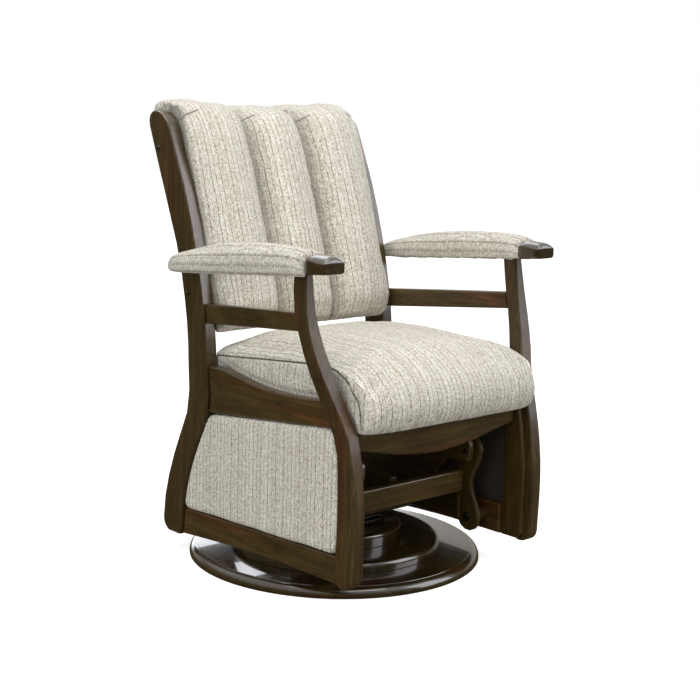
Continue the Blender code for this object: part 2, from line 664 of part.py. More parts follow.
def add_cradle():
    """Crossbars on the swivel's upper plate, and on them the spine and the two hanger boards."""
    for name, side in (("front", -1), ("rear", 1)):
        low = side * CROSSBAR_SPACING / 2 - CROSSBAR_DEPTH / 2
        bar = (
            (-HANGER_OUTER_X, CROSSBAR_Z), (HANGER_OUTER_X, CROSSBAR_Z),
            (HANGER_OUTER_X, CROSSBAR_Z + CROSSBAR_HEIGHT), (-HANGER_OUTER_X, CROSSBAR_Z + CROSSBAR_HEIGHT),
        )
        flat_board("cradle_crossbar_" + name, bar, FRONT_PLANE, -low - CROSSBAR_DEPTH, -low, wood, swivel)
    spine_top = CRADLE_DECK_Z + SPINE_HEIGHT
    spine = (
        (SPINE_FRONT_Y, CRADLE_DECK_Z + SPINE_HEIGHT / 3),
        (SPINE_FRONT_Y + SPINE_HEIGHT / 3, CRADLE_DECK_Z),
        (SPINE_REAR, CRADLE_DECK_Z), (SPINE_REAR, spine_top), (SPINE_FRONT_Y, spine_top),
    )
    flat_board("cradle_spine", spine, SIDE_PLANE, -SPINE_WIDTH / 2, SPINE_WIDTH / 2, wood, swivel)
    top = HANGER_EAR_TOP
    neck = PIVOT_HIGH_Z - HANGER_EAR_FRONT_DROP
    outline = [(-HANGER_FOOT_FRONT, CRADLE_DECK_Z), (HANGER_FOOT_REAR, CRADLE_DECK_Z)]
    outline += [(PIVOT_REAR_Y - HANGER_NECK + top / 2, neck - top)]
    outline += ear_outline(PIVOT_REAR_Y, HANGER_EAR_REAR_REACH, HANGER_EAR_REAR_DROP)
    outline += ear_outline(PIVOT_FRONT_Y, -HANGER_EAR_FRONT_REACH, HANGER_EAR_FRONT_DROP)[::-1]
    outline += [(PIVOT_FRONT_Y + HANGER_NECK, neck), (PIVOT_FRONT_Y + HANGER_NECK + top, neck - top)]
    for side, sign in SIDES:
        low, high = sorted((sign * HANGER_INNER_X, sign * HANGER_OUTER_X))
        board = made_mesh(
            flat_board("hanger_board_" + side, outline, SIDE_PLANE, low, high, wood, swivel)
        )
        for end, y in ENDS:
            drill_across(board, PIVOT_BOLT_RADIUS, y, PIVOT_HIGH_Z, low, high, "upper_" + end + "_" + side)


def drill_across(target, bolt_radius, y, z, low, high, name):
    """A running hole along X for a bolt, through the stretch from low to high."""
    radius = (bolt_radius + PIVOT_PLAY) / cos(pi / BOLT_STEPS)
    start = (low - CUT_OVERRUN, y, z)
    end = (high + CUT_OVERRUN, y, z)
    drill(target, radius, start, end, target.name + "_hole_" + name)


def link_outline(y):
    """A waisted link: the front edge is drawn in, the rear edge bows out, and both ends are round."""
    points = []
    radius = LINK_END_RADIUS
    for i in range(LINK_SIDE_STEPS + 1):
        share = i / LINK_SIDE_STEPS
        swell = (1 - cos(tau * share)) / 2
        points.append((y - radius + LINK_WAIST_DRAW * swell, PIVOT_HIGH_Z - LINK_LENGTH * share))
    for i in range(1, LINK_END_STEPS):
        turn = pi * i / LINK_END_STEPS
        points.append((y - radius * cos(turn), PIVOT_LOW_Z - radius * sin(turn)))
    for i in range(LINK_SIDE_STEPS + 1):
        share = 1 - i / LINK_SIDE_STEPS
        swell = (1 - cos(tau * share)) / 2
        points.append((y + radius + LINK_BOW * swell, PIVOT_HIGH_Z - LINK_LENGTH * share))
    for i in range(1, LINK_END_STEPS):
        turn = pi * i / LINK_END_STEPS
        points.append((y + radius * cos(turn), PIVOT_HIGH_Z + radius * sin(turn)))
    return points


def add_links():
    for (end, y), parent in zip(ENDS, (front_swing, rear_swing)):
        for side, sign in SIDES:
            low, high = sorted((sign * LINK_INNER_X, sign * LINK_OUTER_X))
            board = flat_board(end + "_link_" + side, link_outline(y), SIDE_PLANE, low, high, wood, parent)
            link = made_mesh(board)
            drill_across(link, PIVOT_BOLT_RADIUS, y, PIVOT_HIGH_Z, low, high, "upper")
            drill_across(link, PIVOT_BOLT_RADIUS, y, PIVOT_LOW_Z, low, high, "lower")
        top = PIVOT_HIGH_Z - STRETCHER_TOP_DROP
        reach = LINK_INNER_X - SEATED_GAP
        face = y + STRETCHER_SET_BACK
        outline = (
            (-reach, top - STRETCHER_HEIGHT), (reach, top - STRETCHER_HEIGHT), (reach, top), (-reach, top)
        )
        name = end + "_stretcher"
        flat_board(name, outline, FRONT_PLANE, -face - STRETCHER_THICKNESS, -face, wood, parent)


def bolt_profile(shank_radius, head_radius, head_height, length, domed=False):
    """A bolt along +Z: its head below zero, its shank up to length."""
    profile = [(0, length), (shank_radius - STEEL_EDGE, length), (shank_radius, length - STEEL_EDGE)]
    profile += [(shank_radius, 0), (head_radius, 0)]
    if domed:
        profile += [(head_radius * cos(pi / 6), -head_height / 2)]
        profile += [(head_radius / 2, -head_height * cos(pi / 6))]
    else:
        profile += [(head_radius, STEEL_EDGE - head_height), (head_radius - STEEL_EDGE, -head_height)]
    return profile + [(0, -head_height)]


def add_pivot_bolts():
    """Upper bolts enter from outside into the hangers, and lower bolts from inside into the glide rails."""
    for side, sign in SIDES:
        for end, y in ENDS:
            start = LINK_OUTER_X + SEATED_GAP
            length = start - HANGER_INNER_X - PIVOT_BOLT_BACK_OFF
            profile = bolt_profile(PIVOT_BOLT_RADIUS, PIVOT_HEAD_RADIUS, PIVOT_HEAD_HEIGHT, length)
            place = along((sign * start, y, PIVOT_HIGH_Z), (-sign, 0, 0))
            turned("upper_pivot_bolt_" + end + "_" + side, profile, BOLT_STEPS, black_steel, swivel, place)
            start = LINK_INNER_X - SEATED_GAP
            length = INNER_FACE_X - start - PIVOT_BOLT_BACK_OFF
            profile = bolt_profile(PIVOT_BOLT_RADIUS, PIVOT_HEAD_RADIUS, PIVOT_HEAD_HEIGHT, length)
            place = along((sign * start, y, PIVOT_LOW_Z), (sign, 0, 0))
            turned("lower_pivot_bolt_" + end + "_" + side, profile, BOLT_STEPS, black_steel, seat, place)


def add_posts():
    """Rear posts with a rounded heel and a round crown."""
    top_z = POST_FOOT_Z + POST_HEIGHT
    crown = post_crown()
    for side, sign in SIDES:
        rings = []
        for z in post_heights():
            round_top = corner_inset(top_z - z, crown)
            rear = post_edge(2, z) - corner_inset(z - POST_FOOT_Z, POST_HEEL_RADIUS) - round_top
            front = post_edge(1, z) + round_top
            section = chamfered(SEAT_HALF_WIDTH, FRAME_OUTER_X, front, rear)
            rings.append([(sign * x, y, z) for x, y in section])
        post = loft("rear_post_" + side, rings, wood, seat)
        for end, y, z in BACK_BOLTS:
            low, high = sorted((sign * SEAT_HALF_WIDTH, sign * FRAME_OUTER_X))
            drill_across(post, BACK_BOLT_RADIUS, y, z, low, high, end)


def corner_start(radius):
    """The first section of a rounded end, a small way in from its tip."""
    return radius * (1 - cos(pi / 2 / ROUND_STEPS)) / 4


def add_legs():
    """Front legs: curved in side view, leaning out above the seat, cut to the slope of the arm on top."""
    top_z = LEG_FOOT_Z + LEG_HEIGHT
    for side, sign in SIDES:
        rings = []
        for z in leg_heights():
            inset = corner_inset(z - LEG_FOOT_Z, LEG_TOE_RADIUS)
            section = chamfered(leg_inner(z), leg_outer(z), leg_edge(1, z) + inset, leg_edge(2, z) - inset)
            if z < top_z:
                rings.append([(sign * x, y, z) for x, y in section])
            else:
                rings.append([(sign * x, y, arm_under(y) - SEATED_GAP) for x, y in section])
        loft("front_leg_" + side, rings, wood, seat)


def add_mid_rails():
    """Straight rails under the arms. They lean out with the legs towards the front."""
    rear_z = MID_RAIL_REAR_TOP_Z
    front_z = MID_RAIL_FRONT_TOP_Z
    front_x = leg_inner(front_z - MID_RAIL_FRONT_HEIGHT / 2)
    rear_x = SEAT_HALF_WIDTH
    rear = chamfered(rear_x, rear_x + RAIL_THICKNESS, rear_z - MID_RAIL_REAR_HEIGHT, rear_z)
    front = chamfered(front_x, front_x + RAIL_THICKNESS, front_z - MID_RAIL_FRONT_HEIGHT, front_z)
    rear_low, rear_high = rear_z - MID_RAIL_REAR_HEIGHT, rear_z
    front_low, front_high = front_z - MID_RAIL_FRONT_HEIGHT, front_z
    for side, sign in SIDES:
        rings = (
            [(sign * x, end_line(post_front, rear_low, rear_high, z) - SEATED_GAP, z) for x, z in rear],
            [(sign * x, end_line(leg_rear, front_low, front_high, z) + SEATED_GAP, z) for x, z in front],
        )
        loft("mid_rail_" + side, rings, wood, seat)


def end_line(edge, low, high, z):
    """A straight cut for a rail's end, from the neighbour's edge at one height to the other."""
    return edge(low) + (edge(high) - edge(low)) * (z - low) / (high - low)


def between(z_rear, z_front, y):
    """Height at y on the straight line from the post's front edge to the leg's rear edge."""
    share = (post_front(z_rear) - y) / (post_front(z_rear) - leg_rear(z_front))
    return z_rear + (z_front - z_rear) * share


def with_sections(low, high, heights):
    """Two heights, and the lofted piece's sections between them."""
    return [low, *(height for height in heights if low + WOOD_EDGE < height < high - WOOD_EDGE), high]


def rail_outline(rear_top, rear_bottom, front_top, front_bottom, top_edge=(), bottom_edge=()):
    """A side rail between post and leg. Its ends follow their edges, and its own edges run front to rear."""
    rear_heights = with_sections(rear_bottom, rear_top, post_heights())
    front_heights = with_sections(front_bottom, front_top, leg_heights())
    points = [(post_front(z) - SEATED_GAP, z) for z in rear_heights]
    points += top_edge
    points += [(leg_rear(z) + SEATED_GAP, z) for z in front_heights[::-1]]
    points += bottom_edge
    return points


def add_scoop_rails():
    front_top = SCOOP_RAIL_TOP_Z - SCOOP_DEPTH * SCOOP_SHARES[-1][1]
    rear_y = post_front(SCOOP_RAIL_TOP_Z)
    front_y = leg_rear(front_top)
    scoop = [
        (rear_y + (front_y - rear_y) * place, SCOOP_RAIL_TOP_Z - SCOOP_DEPTH * depth)
        for place, depth in SCOOP_SHARES[1:-1]
    ]
    outline = rail_outline(
        SCOOP_RAIL_TOP_Z, SCOOP_RAIL_REAR_BOTTOM_Z, front_top, SCOOP_RAIL_FRONT_BOTTOM_Z, top_edge=scoop
    )
    for side, sign in SIDES:
        low, high = sorted((sign * SEAT_HALF_WIDTH, sign * (SEAT_HALF_WIDTH + RAIL_THICKNESS)))
        flat_board("scoop_rail_" + side, outline, SIDE_PLANE, low, high, wood, seat)


def add_bottom_rails():
    rear_z = BOTTOM_RAIL_REAR_BOTTOM_Z
    front_z = BOTTOM_RAIL_FRONT_BOTTOM_Z
    arch = []
    for i in range(1, BOTTOM_ARCH_STEPS):
        share = i / BOTTOM_ARCH_STEPS
        y = leg_rear(front_z) + (post_front(rear_z) - leg_rear(front_z)) * share
        arch.append((y, between(rear_z, front_z, y) + BOTTOM_RAIL_ARCH * sin(pi * share)))
    outline = rail_outline(
        BOTTOM_RAIL_REAR_TOP_Z, rear_z, BOTTOM_RAIL_FRONT_TOP_Z, front_z, bottom_edge=arch
    )
    for side, sign in SIDES:
        low, high = sorted((sign * SEAT_HALF_WIDTH, sign * (SEAT_HALF_WIDTH + RAIL_THICKNESS)))
        flat_board("bottom_rail_" + side, outline, SIDE_PLANE, low, high, wood, seat)


def add_side_panels():
    """Upholstered panels that fill the side frames, with rounded corners and edges."""
    corner = PANEL_CORNER_RADIUS
    sides = (
        (leg_rear, 1, BOTTOM_RAIL_FRONT_TOP_Z + PANEL_GAP, SCOOP_RAIL_FRONT_BOTTOM_Z - PANEL_GAP),
        (post_front, -1, BOTTOM_RAIL_REAR_TOP_Z + PANEL_GAP, SCOOP_RAIL_REAR_BOTTOM_Z - PANEL_GAP),
    )
    outline = []
    for edge, inward, low, high in sides:
        ends = [corner_start(corner), *round_places(corner, ROUND_STEPS)]
        heights = [low + place for place in ends]
        heights += steps_between(low + corner, high - corner, PANEL_SIDE_STEPS)[1:-1]
        heights += [high - place for place in reversed(ends)]
        points = []
        for z in heights:
            inset = corner_inset(z - low, corner) + corner_inset(high - z, corner)
            points.append((edge(z) + inward * (PANEL_GAP + inset), z))
        outline += points if inward > 0 else points[::-1]
    for side, sign in SIDES:
        inner = SEAT_HALF_WIDTH + PANEL_INSET
        low, high = sorted((sign * inner, sign * (inner + PANEL_THICKNESS)))
        flat_board("side_panel_" + side, outline, SIDE_PLANE, low, high, fabric, seat, PANEL_ROUND, 1)


def add_glide_rails():
    """Inner rails with a boss at each lower pivot, which keeps the link away from the rail."""
    low_z = PIVOT_LOW_Z - GLIDE_RAIL_DROP
    front_y = STILE_FRONT_Y + STILE_WIDTH + SEATED_GAP
    rail = (
        (front_y, low_z), (GLIDE_RAIL_REAR_Y, low_z),
        (GLIDE_RAIL_REAR_Y, low_z + GLIDE_RAIL_HEIGHT), (front_y, low_z + GLIDE_RAIL_HEIGHT),
    )
    for side, sign in SIDES:
        low, high = sorted((sign * GLIDE_RAIL_INNER_X, sign * INNER_FACE_X))
        board = made_mesh(
            flat_board("glide_rail_" + side, rail, SIDE_PLANE, low, high, wood, seat)
        )
        for end, y in ENDS:
            add_boss(board, sign, y, end)
        low, high = sorted((sign * LINK_OUTER_X, sign * INNER_FACE_X))
        for end, y in ENDS:
            drill_across(board, PIVOT_BOLT_RADIUS, y, PIVOT_LOW_Z, low, high, end)


def add_boss(board, sign, y, end):
    start = LINK_OUTER_X + SEATED_GAP
    stop = GLIDE_RAIL_INNER_X + GLIDE_RAIL_THICKNESS / 2
    name = board.name + "_boss_" + end
    work = bmesh.new()
    bmesh.ops.create_cone(
        work, cap_ends=True, segments=BOLT_STEPS, radius1=PIVOT_BOSS_RADIUS, radius2=PIVOT_BOSS_RADIUS,
        depth=stop - start,
    )
    mesh = bpy.data.meshes.new(name)
    work.to_mesh(mesh)
    work.free()
    boss = bpy.data.objects.new(name, mesh)
    boss.matrix_world = along((sign * (start + stop) / 2, y, PIVOT_LOW_Z), (sign, 0, 0))
    boss.hide_render = True
    boss.display_type = "WIRE"
    cutters.objects.link(boss)
    join = board.modifiers.new(name, "BOOLEAN")
    join.operation = "UNION"
    join.object = boss


def add_stiles():
    rear_y = STILE_FRONT_Y + STILE_WIDTH
    top_z = APRON_TOP_Z
    outline = [(STILE_FRONT_Y, STILE_BOTTOM_Z + STILE_TOE), (STILE_FRONT_Y + STILE_TOE, STILE_BOTTOM_Z)]
    outline += [(rear_y, STILE_BOTTOM_Z), (rear_y, top_z)]
    for z in steps_between(top_z, STILE_CURVE_Z, STILE_CURVE_STEPS):
        outline.append((max(STILE_FRONT_Y, leg_front(z) + STILE_SET_BACK), z))
    for side, sign in SIDES:
        low, high = sorted((sign * STILE_INNER_X, sign * INNER_FACE_X))
        flat_board("liner_stile_" + side, outline, SIDE_PLANE, low, high, wood, seat)


def add_seat_frame():
    """The shaped apron in front, a rail behind, a lower rail between the posts' feet, and the deck."""
    half = STILE_INNER_X - SEATED_GAP
    lower_edge = []
    for place, depth in APRON_SHARES:
        drop = APRON_END_HEIGHT + (APRON_MIDDLE_HEIGHT - APRON_END_HEIGHT) * depth
        lower_edge.append((half * place, APRON_TOP_Z - drop))
    outline = [(-x, z) for x, z in reversed(lower_edge)] + lower_edge[1:]
    outline += [(half, APRON_TOP_Z), (-half, APRON_TOP_Z)]
    face = -APRON_FRONT_Y
    flat_board("seat_apron", outline, FRONT_PLANE, face - APRON_THICKNESS, face, wood, seat)
    rails = (
        ("seat_rear_rail", REAR_RAIL_FRONT_Y, APRON_TOP_Z - REAR_RAIL_HEIGHT, REAR_RAIL_HEIGHT),
        ("lower_rear_rail", LOWER_REAR_RAIL_Y, LOWER_REAR_RAIL_Z, LOWER_REAR_RAIL_HEIGHT),
    )
    for name, y, z, height in rails:
        rail = (
            (-INNER_FACE_X, z), (INNER_FACE_X, z), (INNER_FACE_X, z + height), (-INNER_FACE_X, z + height)
        )
        flat_board(name, rail, FRONT_PLANE, -y - REAR_RAIL_THICKNESS, -y, wood, seat)
    half = SEAT_HALF_WIDTH - DECK_SIDE_GAP
    front_y = APRON_FRONT_Y + WOOD_EDGE
    rear_y = REAR_RAIL_FRONT_Y + REAR_RAIL_THICKNESS
    deck = ((-half, front_y), (half, front_y), (half, rear_y), (-half, rear_y))
    flat_board("seat_deck", deck, TOP_PLANE, DECK_Z, DECK_Z + DECK_THICKNESS, wood, seat, STEEL_EDGE)


def cushion_ring(x, drawn, rear_drawn=0, front_drawn=0, lift=0):
    """The cushion's section at a place across: its top and its ends drawn in, its bottom lifted."""
    side = min(1, abs(x) / CUSHION_HALF_WIDTH) ** 4
    top = CUSHION_CROWN_Z - CUSHION_SIDE_DROP * side - drawn
    front = CUSHION_FRONT_Y + CUSHION_NOSE_DRAW * side + drawn + front_drawn
    rear = CUSHION_REAR_Y - drawn - rear_drawn
    bottom = CUSHION_Z + lift
    return [
        (x, rear + (front - rear) * depth, bottom + (top - bottom) * height)
        for depth, height in CUSHION_SECTION_SHARES
    ]


def add_seat_cushion():
    """Crowned on top and round over the front. Its sides swell out above the side rails."""
    edge = CUSHION_ACROSS_SHARES[-3]
    half = []
    for share in CUSHION_ACROSS_SHARES:
        drawn = CUSHION_EDGE_RADIUS * (max(0, share - edge) / (1 - edge)) ** 3
        half.append((CUSHION_HALF_WIDTH * share, drawn))
    over_rail = SCOOP_RAIL_TOP_Z + CUSHION_SIDE_CLEARANCE - CUSHION_Z
    for bulge, drawn, lift in CUSHION_SIDE_SHARES:
        x = CUSHION_HALF_WIDTH + CUSHION_SIDE_BULGE * bulge
        lifted = over_rail + CUSHION_EDGE_RADIUS * lift
        half.append((x, CUSHION_EDGE_RADIUS * drawn, CUSHION_SIDE_REAR, CUSHION_SIDE_FRONT * bulge, lifted))
    sections = [(-x, *rest) for x, *rest in reversed(half[1:])] + half
    loft("seat_cushion", [cushion_ring(*section) for section in sections], fabric, seat)


def domed_section(low, high, bottom, shoulder, dome):
    """A board's section with a domed top, as (x, z) points in order."""
    over = [(high + (low - high) * across, shoulder + dome * height) for across, height in DOME_SHARES]
    edge = WOOD_EDGE
    return [(low, bottom + edge), (low + edge, bottom), (high - edge, bottom), (high, bottom + edge), *over]


def add_arm_boards():
    """A bare tip with a domed top in front, and a thinner core that the pad goes round."""
    tip_rear = ARM_FRONT_Y + ARM_TIP_LENGTH
    middle = ARM_INNER_X + ARM_TIP_WIDTH / 2
    for side, sign in SIDES:
        rings = []
        core_low = ARM_INNER_X + ARM_CORE_INSET
        for y in (ARM_REAR_Y, tip_rear + SEATED_GAP / 2):
            under = arm_under(y)
            top = under + ARM_CORE_THICKNESS - WOOD_EDGE
            section = domed_section(core_low, core_low + ARM_CORE_WIDTH, under, top, WOOD_EDGE)
            rings.append([(sign * x, y, z) for x, z in section])
        for place, width, rise, dome in TIP_SHARES:
            y = tip_rear + (ARM_FRONT_Y - tip_rear) * place
            under = arm_under(y) + ARM_TIP_CORNER / 2 * (1 - width)
            shoulder = arm_under(y) + ARM_TIP_SHOULDER + ARM_TIP_RISE * rise
            half = ARM_TIP_WIDTH / 2 - ARM_TIP_CORNER * (1 - width) / (1 - TIP_SHARES[-1][1])
            section = domed_section(middle - half, middle + half, under, shoulder, ARM_TIP_CROWN * dome)
            rings.append([(sign * x, y, z) for x, z in section])
        loft("arm_board_" + side, rings, wood, seat)


def pad_ring(y, low, high, bottom, top):
    """A round section of the pad, flat below."""
    ring = []
    for i in range(PAD_SECTION_STEPS):
        turn = tau * (i + 0.5) / PAD_SECTION_STEPS - pi / 2
        across = (low + high) / 2 + (high - low) / 2 * rounded(cos(turn))
        up = (bottom + top) / 2 + (top - bottom) / 2 * rounded(sin(turn))
        ring.append((across, y, up))
    return ring


def rounded(value):
    """Pushes a circle's coordinate out towards a square with soft corners."""
    return abs(value) ** 0.62 * (1 if value > 0 else -1)


def add_arm_pads():
    """Long pads round the arm boards. A slot below takes the board's core and the leg's end."""
    front_y = ARM_FRONT_Y + ARM_TIP_LENGTH + SEATED_GAP
    rear_y = ARM_REAR_Y + PAD_OVERHANG
    middle = ARM_INNER_X + PAD_WIDTH / 2
    for side, sign in SIDES:
        rings = []
        for place, width, height in PAD_SECTION_SHARES:
            y = rear_y + (front_y - rear_y) * place
            bottom = arm_under(y) - PAD_DROP
            lift = (1 - width) * PAD_HEIGHT / 4
            half = PAD_WIDTH / 2 * width
            ring = pad_ring(y, middle - half, middle + half, bottom + lift, bottom + PAD_HEIGHT * height)
            rings.append([(sign * x, y, z) for x, y, z in ring])
        pad = loft("arm_pad_" + side, rings, fabric, seat)
        cut_slot(pad, side, sign)


def cut_slot(pad, side, sign):
    """Room for the arm board's core, open below."""
    low = ARM_INNER_X + ARM_CORE_INSET - SEATED_GAP
    high = low + ARM_CORE_WIDTH + 2 * SEATED_GAP
    stations = (ARM_REAR_Y + SEATED_GAP, ARM_FRONT_Y + ARM_TIP_LENGTH - CUT_OVERRUN)
    work = bmesh.new()
    bmesh.ops.create_cube(work, size=1)
    for corner in work.verts:
        y = stations[0] if corner.co.y > 0 else stations[1]
        top = arm_under(y) + ARM_CORE_THICKNESS + SEATED_GAP
        bottom = arm_under(y) - PAD_DROP - CUT_OVERRUN
        corner.co = (sign * (high if corner.co.x > 0 else low), y, top if corner.co.z > 0 else bottom)
    work.normal_update()
    bmesh.ops.recalc_face_normals(work, faces=work.faces)
    mesh = bpy.data.meshes.new("arm_pad_slot_" + side)
    work.to_mesh(mesh)
    work.free()
    cutter = bpy.data.objects.new("arm_pad_slot_" + side, mesh)
    cutter.hide_render = True
    cutter.display_type = "WIRE"
    cutters.objects.link(cutter)
    cut = pad.modifiers.new("Slot", "BOOLEAN")
    cut.operation = "DIFFERENCE"
    cut.object = cutter


def back_point(x, up, forward):
    """A point of the back, from its place up and forward of the line through the bolts."""
    y = BACK_LOWER_BOLT_Y + up * sin(BACK_SLOPE) - forward * cos(BACK_SLOPE)
    z = BACK_LOWER_BOLT_Z + up * cos(BACK_SLOPE) + forward * sin(BACK_SLOPE)
    return (x, y, z)


def back_board_piece(name, half_width, low, high, rear, front, finish, edge):
    """A flat piece of the back, between two places up and two places forward of the bolts' line."""
    middle = Vector(back_point(0, (low + high) / 2, (rear + front) / 2))
    lean = Matrix.Rotation(-BACK_SLOPE, 4, "X")
    half = (high - low) / 2
    outline = ((-half_width, -half), (half_width, -half), (half_width, half), (-half_width, half))
    half_depth = (front - rear) / 2
    rounding = 0 if finish is wood else 1
    board = flat_board(name, outline, FRONT_PLANE, -half_depth, half_depth, finish, None, edge, rounding)
    board.matrix_world = Matrix.Translation(middle) @ lean @ FRONT_PLANE
    board.parent = seat
    board.matrix_parent_inverse = seat.matrix_world.inverted()
    return board


def add_back_frame():
    half_depth = BACK_RAIL_THICKNESS / 2
    rails = (("back_bottom_rail", 0, "lower"), ("back_top_rail", BACK_BOLT_SPACING, "upper"))
    for name, up, end in rails:
        low = up - BACK_RAIL_HEIGHT / 2
        high = up + BACK_RAIL_HEIGHT / 2
        rail = made_mesh(
            back_board_piece(name, INNER_FACE_X, low, high, -half_depth, half_depth, wood, WOOD_EDGE)
        )
        _, y, z = back_point(0, up, 0)
        for side, sign in SIDES:
            inner = sign * (INNER_FACE_X - BACK_BOLT_DEPTH - PIVOT_BOLT_BACK_OFF)
            outer = sign * (INNER_FACE_X + CUT_OVERRUN)
            radius = (BACK_BOLT_RADIUS + PIVOT_PLAY) / cos(pi / BOLT_STEPS)
            drill(rail, radius, (inner, y, z), (outer, y, z), name + "_hole_" + side)
    low = -BACK_BOARD_BELOW
    high = BACK_BOLT_SPACING + BACK_BOARD_ABOVE
    back_board_piece(
        "back_board", BACK_BOARD_HALF_WIDTH, low, high,
        BACK_BOARD_FORWARD, BACK_BOARD_FORWARD + BACK_BOARD_THICKNESS, wood, STEEL_EDGE,
    )
    rear = -half_depth - SEATED_GAP
    back_board_piece(
        "outside_back_panel", OUTSIDE_BACK_HALF_WIDTH, low, high,
        rear - OUTSIDE_BACK_THICKNESS, rear, fabric, OUTSIDE_BACK_ROUND,
    )


def add_back_bolts():
    for side, sign in SIDES:
        for end, y, z in BACK_BOLTS:
            start = FRAME_OUTER_X + SEATED_GAP
            length = start - INNER_FACE_X + BACK_BOLT_DEPTH
            profile = bolt_profile(
                BACK_BOLT_RADIUS, BACK_BOLT_HEAD_RADIUS, BACK_BOLT_HEAD_HEIGHT, length, domed=True
            )
            place = along((sign * start, y, z), (-sign, 0, 0))
            turned("back_bolt_" + end + "_" + side, profile, BOLT_STEPS, black_steel, seat, place)


def back_ring(x, reach, top, roll):
    """The back cushion's section at a place across, from the board's top down, up the front and over."""
    low = -BACK_CUSHION_BELOW
    shelf = BACK_BOLT_SPACING + BACK_BOARD_ABOVE + SEATED_GAP
    ring = [back_point(x, shelf, BACK_CUSHION_FORWARD), back_point(x, low, BACK_CUSHION_FORWARD)]
    for place, forward in BACK_FRONT_SHARES:
        ring.append(back_point(x, low + (top - low) * place, BACK_CUSHION_FORWARD + reach * forward))
    for rearward, drop in BACK_ROLL_SHARES:
        ring.append(back_point(x, top - BACK_ROLL_HEIGHT * drop, -roll * rearward))
    ring.append(back_point(x, shelf, -roll * BACK_SHELF_SHARE))
    return ring


def add_back_cushion():
    """Three upright rolled channels. The top rolls over the back frame to the rear."""
    edges = (-BACK_CUSHION_HALF_WIDTH, -BACK_SEAM_X, BACK_SEAM_X, BACK_CUSHION_HALF_WIDTH)
    rings = []
    for channel, (low_x, high_x) in enumerate(zip(edges, edges[1:])):
        last = channel == len(edges) - 2
        drop = BACK_MIDDLE_DROP if 0 < channel < len(edges) - 2 else 0
        for share in CHANNEL_SHARES + ((1.0,) if last else ()):
            swell = sqrt(max(0, 1 - share * share))
            outer = (share < 0 and channel == 0) or (share > 0 and last)
            depth = BACK_SIDE_DEPTH if outer else BACK_SEAM_DEPTH
            reach = BACK_CUSHION_CROWN - depth * (1 - swell) - BACK_CUSHION_FORWARD
            top = BACK_BOLT_SPACING + BACK_CUSHION_ABOVE - drop - BACK_CHANNEL_DIP * (1 - swell)
            roll = BACK_ROLL_REAR * (BACK_SHELF_SHARE + (1 - BACK_SHELF_SHARE) * swell)
            rings.append(back_ring((low_x + high_x) / 2 + (high_x - low_x) / 2 * share, reach, top, roll))
    loft("back_cushion", rings, fabric, seat)


BACK_BOLTS = (
    ("lower", BACK_LOWER_BOLT_Y, BACK_LOWER_BOLT_Z),
    ("upper", BACK_UPPER_BOLT_Y, BACK_UPPER_BOLT_Z),
)

clear_scene()
chair = collection("swivel_glider")
cutters = collection("cutters")
wood = plain_material("stained_wood", WOOD_COLOUR, WOOD_ROUGHNESS)
fabric = plain_material("woven_fabric", FABRIC_COLOUR, FABRIC_ROUGHNESS)
steel = plain_material("zinc_steel", STEEL_COLOUR, METAL_ROUGHNESS, 1.0)
black_steel = plain_material("black_steel", BOLT_COLOUR, METAL_ROUGHNESS, 1.0)
swivel = joint_axis("swivel_axis", (0, 0, 0))
front_swing = joint_axis("front_swing_axis", (0, PIVOT_FRONT_Y, PIVOT_HIGH_Z))
rear_swing = joint_axis("rear_swing_axis", (0, PIVOT_REAR_Y, PIVOT_HIGH_Z))
seat = joint_axis("seat_axis", (0, PIVOT_FRONT_Y, PIVOT_LOW_Z))

add_base()
add_swivel()
add_cradle()
add_links()
add_pivot_bolts()
add_posts()
add_legs()
add_mid_rails()
add_scoop_rails()
add_bottom_rails()
add_side_panels()
add_glide_rails()
add_stiles()
add_seat_frame()
add_seat_cushion()
add_arm_boards()
add_arm_pads()
add_back_frame()
add_back_bolts()
add_back_cushion()
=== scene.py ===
"""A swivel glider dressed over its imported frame, in stained wood with a turned base and tweed upholstery.

Metres, +Z up, the chair faces -Y, and the sitter's left is +X. Every piece stays where the frame has it.
"""

import json
from functools import partial
from math import atan2, cos, pi, radians, sin

import bmesh
import bpy
import numpy as np
from mathutils import Matrix, Vector, noise


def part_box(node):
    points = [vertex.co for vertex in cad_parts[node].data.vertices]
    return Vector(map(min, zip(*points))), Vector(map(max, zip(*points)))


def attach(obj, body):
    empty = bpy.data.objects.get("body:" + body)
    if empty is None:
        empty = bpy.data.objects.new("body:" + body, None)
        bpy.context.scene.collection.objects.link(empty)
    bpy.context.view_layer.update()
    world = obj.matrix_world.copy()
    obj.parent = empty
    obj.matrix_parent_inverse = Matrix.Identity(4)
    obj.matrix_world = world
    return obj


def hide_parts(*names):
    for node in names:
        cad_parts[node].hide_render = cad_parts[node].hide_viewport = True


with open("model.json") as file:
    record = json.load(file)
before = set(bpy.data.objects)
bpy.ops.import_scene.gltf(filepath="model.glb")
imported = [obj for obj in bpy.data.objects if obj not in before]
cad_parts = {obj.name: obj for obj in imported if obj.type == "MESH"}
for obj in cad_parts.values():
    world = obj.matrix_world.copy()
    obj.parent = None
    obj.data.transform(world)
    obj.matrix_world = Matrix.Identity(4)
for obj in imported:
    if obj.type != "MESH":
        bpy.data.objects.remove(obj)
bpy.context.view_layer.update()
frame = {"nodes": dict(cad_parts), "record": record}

# The photograph's camera
PHOTO_SIDE_PX = 700
FOCAL_PX = 1388.3
SENSOR = 36.0
CAMERA_PLACE = (-2.026, -2.237, 0.977)
CAMERA_YAW = radians(42.606)
CAMERA_PITCH = radians(9.747)
CAMERA_ROLL = radians(1.592)

# Meshes. FAR stands for any distance that is out of a seam's reach
MERGE = 0.00001
FAR = 0.05
SMOOTHING = 0.5
SIDES = (("left", 1), ("right", -1))

